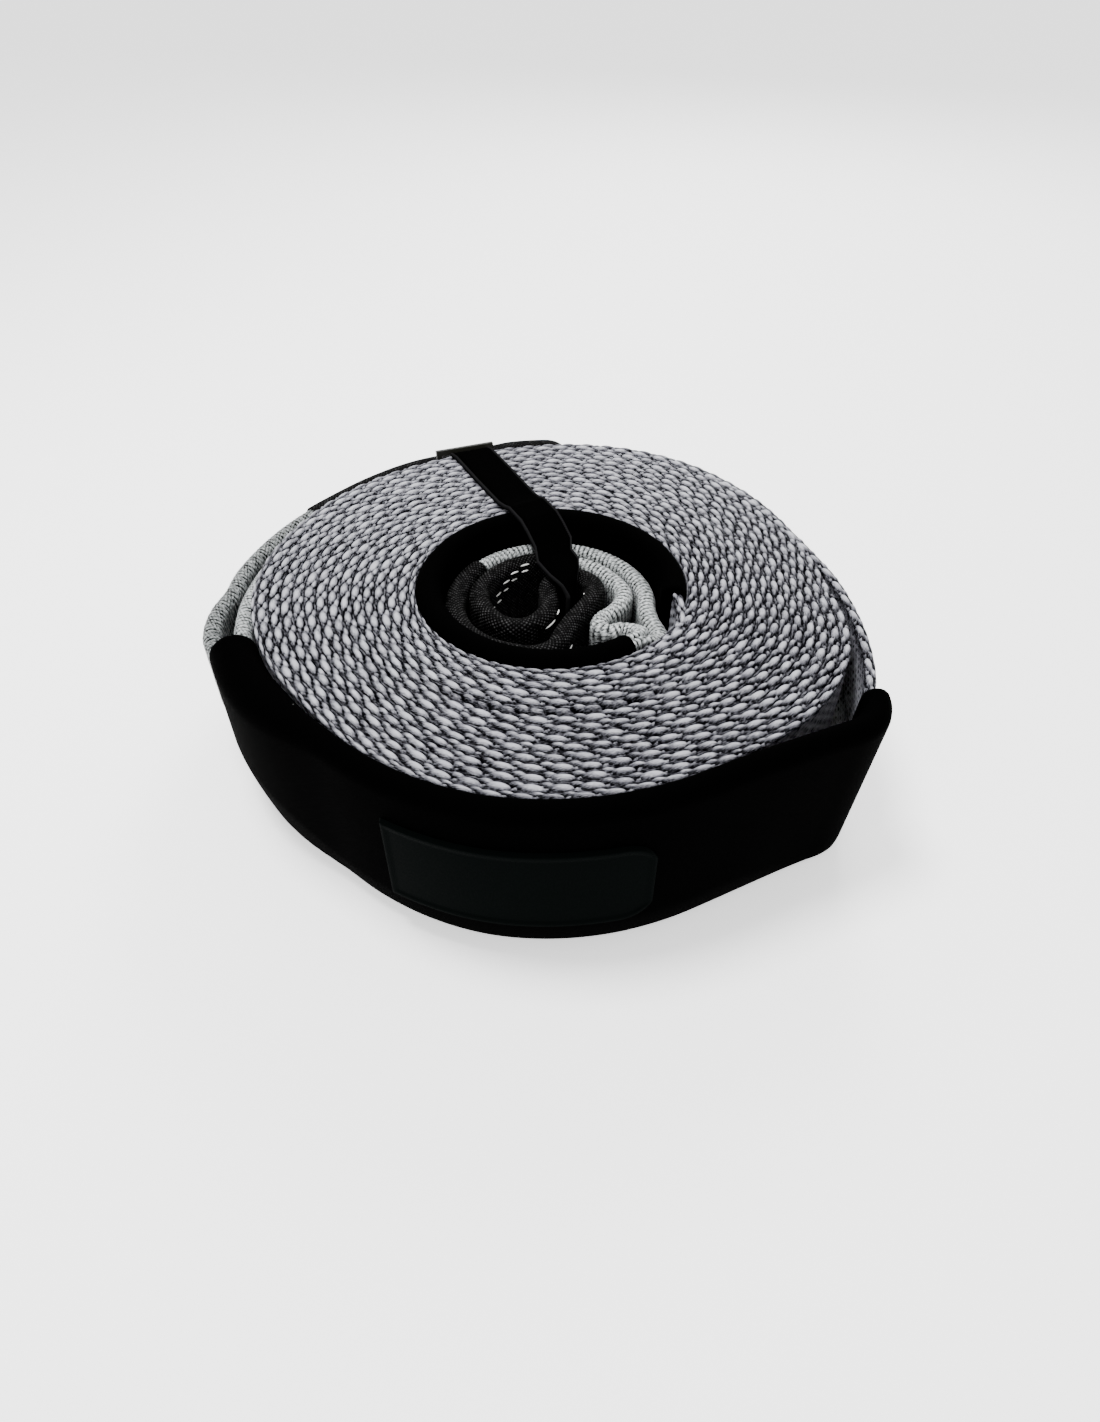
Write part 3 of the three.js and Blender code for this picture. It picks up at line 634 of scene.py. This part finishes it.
INNER_BEND = np.array([10.5, 10.2])
OUTER_BEND = np.array([-2.0, 145.2])
inner_eye = smooth_route(np.vstack([
    arc(SLEEVE_END - 8, SLEEVE_END + 2, lambda a: SPLICE_R + LEG_OFFSET, 5, BORE),
    from_bore([0.697, -0.631], [0.761, -0.513], [0.773, -0.382], [0.734, -0.244]),
    arc(-8, 190, lambda a: outer_strand_r, 12, BORE),
    arc(205, 245, lambda a: outer_strand_r - 3.6 * ((a - 190) / 55) ** 2, 13, BORE),
    from_bore([-0.112, -0.619], [0.020, -0.548], [0.096, -0.372]),
    from_bore([0.179, -0.200], [0.266, -0.056], [0.320, 0.054]),
    arc(5, 185, lambda a: 10.6, 28, INNER_BEND),
    from_bore([-0.015, 0.034], [-0.027, -0.107], [-0.088, -0.230], [-0.191, -0.305], [-0.318, -0.298]),
    from_bore([-0.433, -0.208], [-0.514, -0.068]),
    arc(170, 30, lambda a: inner_strand_r, 14, BORE),
    from_bore([0.553, 0.118], [0.525, -0.022], [0.453, -0.129]),
    from_bore([0.371, -0.210], [0.354, -0.301], [0.420, -0.359]),
    from_bore([0.511, -0.332], [0.602, -0.382], [0.641, -0.494], [0.602, -0.613]),
    arc(SLEEVE_END + 2, SLEEVE_END - 8, lambda a: SPLICE_R - LEG_OFFSET, 5, BORE),
]), 1.0)
inner_length = run_length(inner_eye)[-1]
inner_tip = 0.542 * inner_length


def inner_shape(extra=0.0):
    return lambda s: strand_shape(s, inner_length, INNER_FLAT, INNER_FOLD, INNER_EYE_TOP, inner_tip,
                                  INNER_WRAP_REACH, extra)


def eye_relief(u, d):
    """A fine knit: short floats that cross the strand at a slant, with pits between them."""
    floats = face_relief(d + 0.8 * u, u - 0.75 * d, 1.5, 4.4, 0.2)
    return floats ** 1.2


def leg(name, route, shape, start, end, **settings):
    """An eye's bare strand, which starts inside a sleeve and ends under the wrap."""
    return strand_skin(name, route, shape, start, end, EYE_YARN, "webbing", relief=eye_relief, **settings)


def wear_wrap(name, route, shape, tip, reach):
    return strand_skin(name, route, shape, tip - reach, tip + reach, WRAP, "eye_wrap", 56, 1.6)


inner_fine = {"around": 120, "spacing": 0.8}
leg("inner_eye_outer_leg", inner_eye, inner_shape(), LEG_START, inner_tip - INNER_WRAP_REACH + UNDER_WRAP,
    **inner_fine)
leg("inner_eye_inner_leg", inner_eye, inner_shape(), inner_tip + INNER_WRAP_REACH - UNDER_WRAP,
    inner_length - LEG_START, **inner_fine)
inner_wrap = wear_wrap("inner_eye_wrap_cloth", inner_eye, inner_shape(WRAP_OUT), inner_tip, INNER_WRAP_REACH)
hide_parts("inner_eye_wrap")


# White stitches along the inner wall of the wrap, and single ones on its outside
STITCH_R = 0.42
STITCH_STEPS = 7
STITCH_SIDES = 6
FIRST_STITCH = 119.5


def tube(name, points):
    """A stitch: a thin tube along its points, narrower at both ends."""
    along = np.gradient(points, axis=0)
    along /= np.linalg.norm(along, axis=1)[:, None]
    first = np.cross(along, [0.0, 0.0, 1.0])
    first /= np.linalg.norm(first, axis=1)[:, None]
    second = np.cross(first, along)
    turn = rad(np.arange(0, FULL_TURN, FULL_TURN / STITCH_SIDES))
    thin = STITCH_R * np.sqrt(np.clip(1 - np.linspace(-0.97, 0.97, len(points)) ** 2, 0.05, 1))
    ring = first[:, None] * np.cos(turn)[None, :, None] + second[:, None] * np.sin(turn)[None, :, None]
    skin = points[:, None] + ring * thin[:, None, None]
    faces = list(map(tuple, grid_faces(len(points), STITCH_SIDES, wrap=True)[:, ::-1]))
    last = STITCH_SIDES * (len(points) - 1)
    faces += [tuple(range(STITCH_SIDES)), tuple(range(last + STITCH_SIDES - 1, last - 1, -1))]
    return build(name, skin, faces, THREAD)


def wrap_stitch(name, length, below, away, side_sign):
    """A stitch on the inner wrap's side, from a length of the eye's route on, below the wrap's top."""
    centre, side = place_on(inner_eye, np.linspace(length, length + away, STITCH_STEPS))
    half = WRAP_THICK / 2
    up = max(half - below, 0.0)
    out = math.sqrt(half ** 2 - up ** 2) + 0.12
    heights = np.full(STITCH_STEPS, INNER_EYE_TOP + WRAP_OUT - below)
    return tube(name, np.column_stack([centre + side_sign * side * out, heights]))


def eye_length_near(x, y):
    return run_length(inner_eye)[np.argmin(np.hypot(inner_eye[:, 0] - x, inner_eye[:, 1] - y))]


def eye_length_at(angle):
    spot = polar(angle, inner_strand_r, BORE)
    return eye_length_near(spot[0], spot[1])


for k in range(5):
    below = 1.9 + 1.3 * k + 0.45 * k * k
    wrap_stitch(f"wrap_stitch_upper_{k}", eye_length_at(FIRST_STITCH + 11.5 * k), below, 5.0, 1)
for k in range(4):
    below = 4.6 + 2.4 * k + 0.25 * k * k
    wrap_stitch(f"wrap_stitch_lower_{k}", eye_length_at(FIRST_STITCH + 11 * k), below, 3.9, 1)
wrap_stitch("wrap_stitch_neck_0", eye_length_near(0.0, -3.0), 4.2, 3.0, -1)
wrap_stitch("wrap_stitch_neck_1", eye_length_near(-0.8, -8.0), 5.2, 6.0, -1)
wrap_stitch("wrap_stitch_neck_2", eye_length_near(3.6, -29.0), 6.5, 5.5, 1)
wrap_stitch("wrap_stitch_neck_3", eye_length_near(20.2, 4.5), 3.2, 1.0, -1)


# The outer sleeve and eye
def front_seat(angle):
    return rim_at(angle) + SEAT_GAP


EYE_MOUTH = 2 * EYE_THICK + 2.5
MOUTH_ANGLE = 212.0
MOUTH_TAPER = 22.0


def mouth_half(angle):
    return blend(EYE_MOUTH, SLEEVE_T, (angle - MOUTH_ANGLE) / MOUTH_TAPER) / 2


right_end = from_rim([0.964, -0.571], [0.960, -0.616], [0.938, -0.672], [0.893, -0.709], [0.829, -0.737],
                     [0.740, -0.779])
outer_sleeve_route = smooth_route(np.vstack([
    right_end,
    polar(307, front_seat(307) + SLEEVE_T / 2 + 0.4)[None, :],
    arc(300, 210, lambda a: front_seat(a) + mouth_half(a), 10),
    arc(204, 197.5, lambda a: front_seat(a) + mouth_half(a), 6.5),
]), 1.0)
outer_sleeve_length = run_length(outer_sleeve_route)[-1]
sleeve_angle = np.mod(np.degrees(np.arctan2(outer_sleeve_route[:, 1], outer_sleeve_route[:, 0])), 360)
RIGHT_LEAN = -5.0


def sleeve_at(s, values):
    return np.interp(s, run_length(outer_sleeve_route), values)


def outer_sleeve_shape(s):
    angle = sleeve_at(s, sleeve_angle)
    return mouth_half(angle), np.zeros_like(s), np.full_like(s, SLEEVE_H)


def sleeve_lean(s, share, z):
    """The right end's lean, and the draw-in of the sleeve's lower outer edge, most at its mouth."""
    angle = sleeve_at(s, sleeve_angle)
    right = (angle - 300) / 20
    in_mouth = (angle - MOUTH_ANGLE) / MOUTH_TAPER
    wide = blend(blend(6.0, 4.2, in_mouth), 0.6, right)
    tall = blend(blend(32.0, 17.0, in_mouth), 8.0, right)
    drawn = wide * np.clip(1 - z / tall, 0, 1) ** 1.3 * np.clip((1 - share) / 2, 0, 1)
    return blend(0, RIGHT_LEAN, right) * (z / SLEEVE_H - 0.5) + drawn


outer_sleeve = strand_skin("outer_sleeve_cloth", outer_sleeve_route, outer_sleeve_shape, 0.0,
                           outer_sleeve_length, SLEEVE, "sleeve", 96, 1.6, lean=sleeve_lean, end_round=2.6)
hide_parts("outer_sleeve")


def inner_sleeve_shape(s):
    return np.full_like(s, SLEEVE_T / 2), np.zeros_like(s), np.full_like(s, SLEEVE_H)


inner_sleeve_route = even(arc(SLEEVE_START, SLEEVE_END, lambda a: SPLICE_R, 1.0, BORE), 1.0)
inner_sleeve = strand_skin("inner_sleeve_cloth", inner_sleeve_route, inner_sleeve_shape, 0.0,
                           run_length(inner_sleeve_route)[-1], SLEEVE, "sleeve", 96, 1.6, end_round=1.6)
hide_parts("inner_sleeve")


TIE_CLEAR = SEAT_GAP + RING_BAR_THICK + TIE_THICK + 0.8


def stand_off(angle):
    return blend(TIE_CLEAR, 0, (angle - 118) / 24)


def beside_rim(angle, layers):
    layer = WRAP_THICK + OUTER_GAP
    return front_seat(angle) + OUTER_GAP + stand_off(angle) + layers * layer + WRAP_THICK / 2


def mouth_seat(angle):
    return front_seat(angle) + 1.25


def at(angle, radius):
    return polar(angle, radius)[None, :]


LEG_INSET = 0.3
outer_eye = smooth_route(np.vstack([
    at(240, mouth_seat(240) + 1.5 * WEB_THICK - LEG_INSET),
    at(232, mouth_seat(232) + 1.5 * WEB_THICK - LEG_INSET),
    at(224, mouth_seat(224) + 1.5 * WEB_THICK - LEG_INSET), at(215, mouth_seat(215) + 2.5 * WEB_THICK),
    at(207, mouth_seat(207) + 1.49 * EYE_THICK), at(202, mouth_seat(202) + 1.5 * EYE_THICK),
    at(198, mouth_seat(198) + 1.5 * EYE_THICK),
    round_rim([192, 1.137], [189, 1.156], [185, 1.163], [181, 1.158], [176, 1.140]),
    arc(170, 110, lambda a: beside_rim(a, 1), 10),
    round_rim([103.5, 1.180], [98, 1.207]),
    arc(100, -95, lambda a: 7.6, 28, OUTER_BEND),
    arc(98, 178, lambda a: beside_rim(a, 0), 10),
    at(184, beside_rim(184, 0)), at(190, beside_rim(190, 0) + 0.4),
    at(198, mouth_seat(198) + 0.5 * EYE_THICK), at(202, mouth_seat(202) + 0.5 * EYE_THICK),
    at(207, mouth_seat(207) + 0.5 * EYE_THICK), at(215, mouth_seat(215) + 0.8 * WEB_THICK),
    at(224, mouth_seat(224) + 0.5 * WEB_THICK + LEG_INSET),
    at(232, mouth_seat(232) + 0.5 * WEB_THICK + LEG_INSET),
    at(240, mouth_seat(240) + 0.5 * WEB_THICK + LEG_INSET),
]), 1.0)
outer_length = run_length(outer_eye)[-1]
outer_tip = 0.505 * outer_length


def outer_shape(extra=0.0):
    return lambda s: strand_shape(s, outer_length, OUTER_FLAT, OUTER_FOLD, OUTER_EYE_TOP, outer_tip,
                                  OUTER_WRAP_REACH, extra)


outer_fine = {"around": 100, "spacing": 1.0}
# Painted shade: the outer leg is coloured darker overall, with only a slight fall down its sides.
leg("outer_eye_outer_leg", outer_eye, outer_shape(), 48, outer_tip - OUTER_WRAP_REACH + UNDER_WRAP,
    lightness=0.72, fading=0.006, **outer_fine)
leg("outer_eye_inner_leg", outer_eye, outer_shape(), outer_tip + OUTER_WRAP_REACH - UNDER_WRAP,
    outer_length - 40, **outer_fine)
outer_wrap = wear_wrap("outer_eye_wrap_cloth", outer_eye, outer_shape(WRAP_OUT), outer_tip, OUTER_WRAP_REACH)
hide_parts("outer_eye_wrap")

# The leads at both ends of the roll
LEAD_THICK = 4.4
LEAD_HALF = 2.1
LEAD_LOW = 2.6
LEAD_HIGH = 73.4
lead_route = smooth_route(np.vstack([
    arc(50, 30, lambda a: rim_at(a) - PITCH / 2 - 0.2, 10),
    round_rim([20, 0.959], [10, 0.970], [3, 0.991], [356, 1.012]),
    round_rim([347, 1.046], [339, 1.081], [333, 1.109]),
    right_end[:3],
]), EDGE_STEP)
lead_side = right_side(lead_route)
edge_strip("webbing_outer_lead_top", lead_route, lead_side, LEAD_THICK, WEB_WIDTH, 1, 3.0)
edge_strip("webbing_outer_lead_bottom", lead_route[::2], lead_side[::2], LEAD_THICK, 1.5, -1, 3.0)
wall("webbing_outer_lead_front", lead_route[::2], -LEAD_HALF, LEAD_LOW, LEAD_HIGH)
wall("webbing_outer_lead_back", lead_route[::2], LEAD_HALF, LEAD_LOW, LEAD_HIGH)

first_turn = BORE_R + PITCH / 2
inner_lead_arc = arc(-50, 15, lambda a: blend(first_turn, SPLICE_R, (a + 35) / 35), 1.0, BORE)
inner_lead_route = even(inner_lead_arc, EDGE_STEP)
inner_lead_side = right_side(inner_lead_route)
edge_strip("webbing_inner_lead_top", inner_lead_route, inner_lead_side, LEAD_THICK, WEB_WIDTH, 1, 5.0)
wall("webbing_inner_lead_front", inner_lead_route[::2], -LEAD_HALF, LEAD_LOW, LEAD_HIGH)
wall("webbing_inner_lead_back", inner_lead_route[::2], LEAD_HALF, LEAD_LOW, LEAD_HIGH)


# The tie: its own smooth ribbon through the CAD tie's places
def on_tie(distance, z):
    along = polar(TIE_HEADING, 1.0)
    return [TIE_POINT[0] + along[0] * distance, TIE_POINT[1] + along[1] * distance, z]


def on_wall(offset, z):
    spot = polar(TIE_WALL, float(rim_at(TIE_WALL)) + offset)
    return [spot[0], spot[1], z]


TIE_ACROSS = TIE_HEADING + 90
TIE_DROP_TURN = TIE_ACROSS + 48.5
TIE_WALL_TURN = 20.2
TIE_LIFT = SEAT_GAP + TIE_THICK / 2
OVER_ROLL = WEB_WIDTH + TIE_LIFT
OVER_SLEEVE = SLEEVE_H + TIE_LIFT
RING_SEAT = SEAT_GAP + 0.2 + RING_BAR_THICK + SEAT_GAP + TIE_THICK / 2
RING_BAR = 62.06
TIE_STEPS = 6
# The tie's middle, the turn of its width and its width at each place along it, all the way round
stations = [
    (on_wall(TIE_LIFT, 8), TIE_WALL_TURN, TIE_WIDE),
    (on_wall(TIE_LIFT, 47), TIE_WALL_TURN, TIE_WIDE),
    (on_wall(TIE_LIFT + 0.4, RING_BAR - 9.2), TIE_WALL_TURN, TIE_WIDE),
    (on_wall(RING_SEAT, RING_BAR - 2.6), TIE_WALL_TURN, TIE_WIDE),
    (on_wall(RING_SEAT, RING_BAR + 2.4), TIE_WALL_TURN, TIE_WIDE),
    (on_wall(TIE_LIFT + 0.3, RING_BAR + 6.4), TIE_WALL_TURN, TIE_WIDE),
    (on_wall(TIE_LIFT, 73.3), TIE_WALL_TURN, TIE_WIDE),
    (on_wall(0.75, 74.7), TIE_WALL_TURN, TIE_WIDE),
    (on_wall(-0.7, 75.6), TIE_WALL_TURN, TIE_WIDE),
    (on_wall(-2.2, OVER_ROLL), TIE_ACROSS - 4, TIE_WIDE),
    (on_tie(-6, OVER_ROLL), TIE_ACROSS, TIE_WIDE),
    (on_tie(20, OVER_ROLL), TIE_ACROSS, TIE_WIDE),
    (on_tie(46, OVER_ROLL), TIE_ACROSS, 20),
    (on_tie(53, OVER_ROLL + 1.3), TIE_ACROSS, TIE_BORE),
    (on_tie(57.5, OVER_SLEEVE), TIE_ACROSS, TIE_BORE),
    (on_tie(70.5, OVER_SLEEVE), TIE_ACROSS, TIE_BORE),
    (on_tie(77, 77), TIE_ACROSS, TIE_BORE),
    (on_tie(85, 73), TIE_ACROSS, TIE_BORE),
    ([2.9, 26.3, 70.6], TIE_ACROSS + 7, TIE_BORE),
    ([7.3, 18.2, 69.8], TIE_ACROSS + 18, TIE_BORE),
    ([9.8, 12, 69.3], TIE_ACROSS + 36, 17.5),
    ([10.5, 7.8, 66.2], TIE_DROP_TURN, TIE_NARROW),
    ([10.4, 7.4, 60], TIE_DROP_TURN, TIE_NARROW),
    ([10.4, 7.4, 35], TIE_DROP_TURN, TIE_NARROW),
    ([10.4, 7.4, 12], TIE_DROP_TURN, TIE_NARROW),
    ([9.9, 8.8, 5.5], TIE_ACROSS + 40, 17),
    ([8.2, 13.4, 2.4], TIE_ACROSS + 30, 19),
    (on_tie(97, TIE_LIFT), TIE_ACROSS, TIE_WIDE),
    (on_tie(85, TIE_LIFT), TIE_ACROSS, TIE_WIDE),
    (on_tie(60, TIE_LIFT), TIE_ACROSS, TIE_WIDE),
    (on_tie(25, TIE_LIFT), TIE_ACROSS, TIE_WIDE),
    (on_tie(-2, TIE_LIFT), TIE_ACROSS, TIE_WIDE),
    (on_tie(-8, TIE_LIFT), TIE_ACROSS - 4, TIE_WIDE),
    (on_wall(TIE_LIFT, TIE_LIFT), TIE_WALL_TURN, TIE_WIDE),
]


def ribbon(name, columns, from_share, to_share, mat, bulge):
    """A closed band along the stations, over a share of the tie's width from -0.5 to 0.5."""
    places = np.array([s[0] for s in stations])
    turns = np.array([s[1] for s in stations], float)
    widths = np.array([s[2] for s in stations], float)
    count = len(stations)
    along = np.roll(places, -1, 0) - np.roll(places, 1, 0)
    wide = np.stack([np.cos(rad(turns)), np.sin(rad(turns)), np.zeros(count)], -1)
    up = np.cross(along, wide)
    up /= np.linalg.norm(up, axis=1)[:, None]
    rows = []
    cloth = []
    length = np.concatenate([[0], np.cumsum(np.linalg.norm(np.roll(places, -1, 0) - places, axis=1))])
    for k in range(count):
        m = (k + 1) % count
        for t in np.arange(TIE_STEPS) / TIE_STEPS:
            centre = places[k] * (1 - t) + places[m] * t
            w = wide[k] * (1 - t) + wide[m] * t
            n = up[k] * (1 - t) + up[m] * t
            n /= np.linalg.norm(n)
            width = widths[k] * (1 - t) + widths[m] * t
            v = np.linspace(from_share, to_share, columns)
            in_band = np.abs(2 * (v - from_share) / (to_share - from_share) - 1)
            high = TIE_THICK / 2 + bulge * (1 - in_band ** 4)
            outer = centre + w * (v * width)[:, None] + n * high[:, None]
            inner = centre + w * (v[::-1] * width)[:, None] - n * (TIE_THICK / 2 - 0.05)
            rows.append(np.vstack([outer, inner]))
            cloth.append(np.stack([np.full(2 * columns, length[k] + t * (length[k + 1] - length[k])),
                                   np.concatenate([v, v[::-1] + 2]) * width], -1))
    rows = np.array(rows)
    around = 2 * columns
    total = len(rows)
    r = np.arange(total)[:, None]
    c = np.arange(around)[None, :]
    here = r * around
    ahead = (r + 1) % total * around
    beside = (c + 1) % around
    quads = np.stack([here + c, here + beside, ahead + beside, ahead + c], -1).reshape(-1, 4)
    return build(name, rows, quads[:, ::-1], mat, None, np.array(cloth))


tie = ribbon("tie_pile_band", 7, -0.44, 0.44, PILE, 0.0)
ribbon("tie_edge_left", 4, -0.5, -0.445, TIE_EDGE, 0.25)
ribbon("tie_edge_right", 4, 0.445, 0.5, TIE_EDGE, 0.25)
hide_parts("tie_strap")

# The label patch: a plate with a raised border, bare inside it
PATCH_LOW, PATCH_HIGH = 18.0, 60.0
PATCH_FROM, PATCH_TO = 244.0, 286.5
PATCH_CORNER = 13.0
PATCH_THICK = 1.6
PATCH_COLUMNS = 110
PATCH_ROWS = 60
BORDER_WIDTH = 2.6
BORDER_SLOPE = 0.5
BORDER_RISE = 0.6
BORDER_EDGE = 0.4


def patch():
    length = math.radians(PATCH_TO - PATCH_FROM) * (RIM_R + SLEEVE_T)
    s = np.linspace(0, 1, PATCH_COLUMNS)
    t = np.linspace(0, 1, PATCH_ROWS)
    x = s * length
    left = np.maximum(PATCH_CORNER - (length - x), 0)
    cut = PATCH_CORNER - np.sqrt(np.maximum(PATCH_CORNER ** 2 - left ** 2, 0))
    low = PATCH_LOW + np.minimum(cut, 10)
    high = PATCH_HIGH - np.minimum(cut, 10)
    z = low[:, None] + (high - low)[:, None] * t[None, :]
    near = np.minimum(np.minimum(z - low[:, None], high[:, None] - z), np.minimum(x, length - x)[:, None])
    slope = 1 - (near - BORDER_WIDTH) / BORDER_SLOPE * 0.7
    inside = np.where(near < BORDER_WIDTH + BORDER_SLOPE, slope, 0.3)
    border = np.where(near < BORDER_WIDTH, 1.0, inside)
    rise = np.where(near < BORDER_EDGE, near / BORDER_EDGE, border)
    angle = PATCH_FROM + (PATCH_TO - PATCH_FROM) * s
    base = front_seat(angle) + 2 * mouth_half(angle) + SEAT_GAP
    radius = base[:, None] + (PATCH_THICK - BORDER_RISE) * np.minimum(near / 0.2, 1) + BORDER_RISE * rise
    plan = polar(np.broadcast_to(angle[:, None], z.shape), radius)
    points = np.concatenate([plan, z[..., None]], -1)
    cloth = np.stack([np.broadcast_to(x[:, None], z.shape), z], -1)
    faces = grid_faces(PATCH_COLUMNS, PATCH_ROWS)
    return build("label_patch_rubber", points, faces, RUBBER, None, cloth)


label = patch()
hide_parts("label_patch")

# The tie's ring keeps its CAD shape, with softened edges
ring_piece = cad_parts["tie_ring"]
ring_piece.data.materials.clear()
ring_piece.data.materials.append(RING)
soften = ring_piece.modifiers.new("soft_edges", "BEVEL")
soften.width = 0.5 * MM
soften.segments = 3

# Floor, light and camera
floor_material, _, _, floor_shader = material("floor", (0.97, 0.97, 0.97), 0.9, 0.0)
floor_shader.inputs["Emission Color"].default_value = (1, 1, 1, 1)
floor_shader.inputs["Emission Strength"].default_value = 0.8
floor_mesh = bpy.data.meshes.new("floor")
FLOOR_HALF = 6
corners = [(x * FLOOR_HALF, y * FLOOR_HALF, 0) for x, y in ((-1, -1), (1, -1), (1, 1), (-1, 1))]
floor_mesh.from_pydata(corners, [], [(0, 1, 2, 3)])
floor_mesh.materials.append(floor_material)
floor = bpy.data.objects.new("floor", floor_mesh)
bpy.context.scene.collection.objects.link(floor)

world = bpy.data.worlds.new("studio")
bpy.context.scene.world = world
world.use_nodes = True
world.node_tree.nodes["Background"].inputs["Color"].default_value = (1, 1, 1, 1)
world.node_tree.nodes["Background"].inputs["Strength"].default_value = 1.4


LIGHT_TARGET = Vector((0, 0, 0.03))


def area_light(name, place, size, power):
    data = bpy.data.lights.new(name, "AREA")
    data.shape = "DISK"
    data.size = size
    data.energy = power
    made = bpy.data.objects.new(name, data)
    made.location = place
    made.rotation_euler = (LIGHT_TARGET - Vector(place)).to_track_quat("-Z", "Y").to_euler()
    bpy.context.scene.collection.objects.link(made)


area_light("overhead", (-0.22, 0.02, 0.95), 0.3, 16)
area_light("back", (0.3, 1.1, 0.95), 0.5, 16)

# The photograph's camera, in the roll's plan: its place, its focal length in pixels and its downward tilt
CAMERA_PLACE = (0.8, -324.4, 301.4)
CAMERA_FOCUS = 900
CAMERA_TILT = 43.09
PHOTO_HEIGHT = 1422
SENSOR = 36
camera_data = bpy.data.cameras.new("camera")
camera_data.lens = SENSOR * CAMERA_FOCUS / PHOTO_HEIGHT
camera_data.sensor_width = SENSOR
camera = bpy.data.objects.new("camera", camera_data)
camera.location = ((CAMERA_PLACE[0] + ROLL[0]) * MM, (CAMERA_PLACE[1] + ROLL[1]) * MM, CAMERA_PLACE[2] * MM)
camera.rotation_euler = (math.radians(90 - CAMERA_TILT), 0, 0)
bpy.context.scene.collection.objects.link(camera)
bpy.context.scene.camera = camera
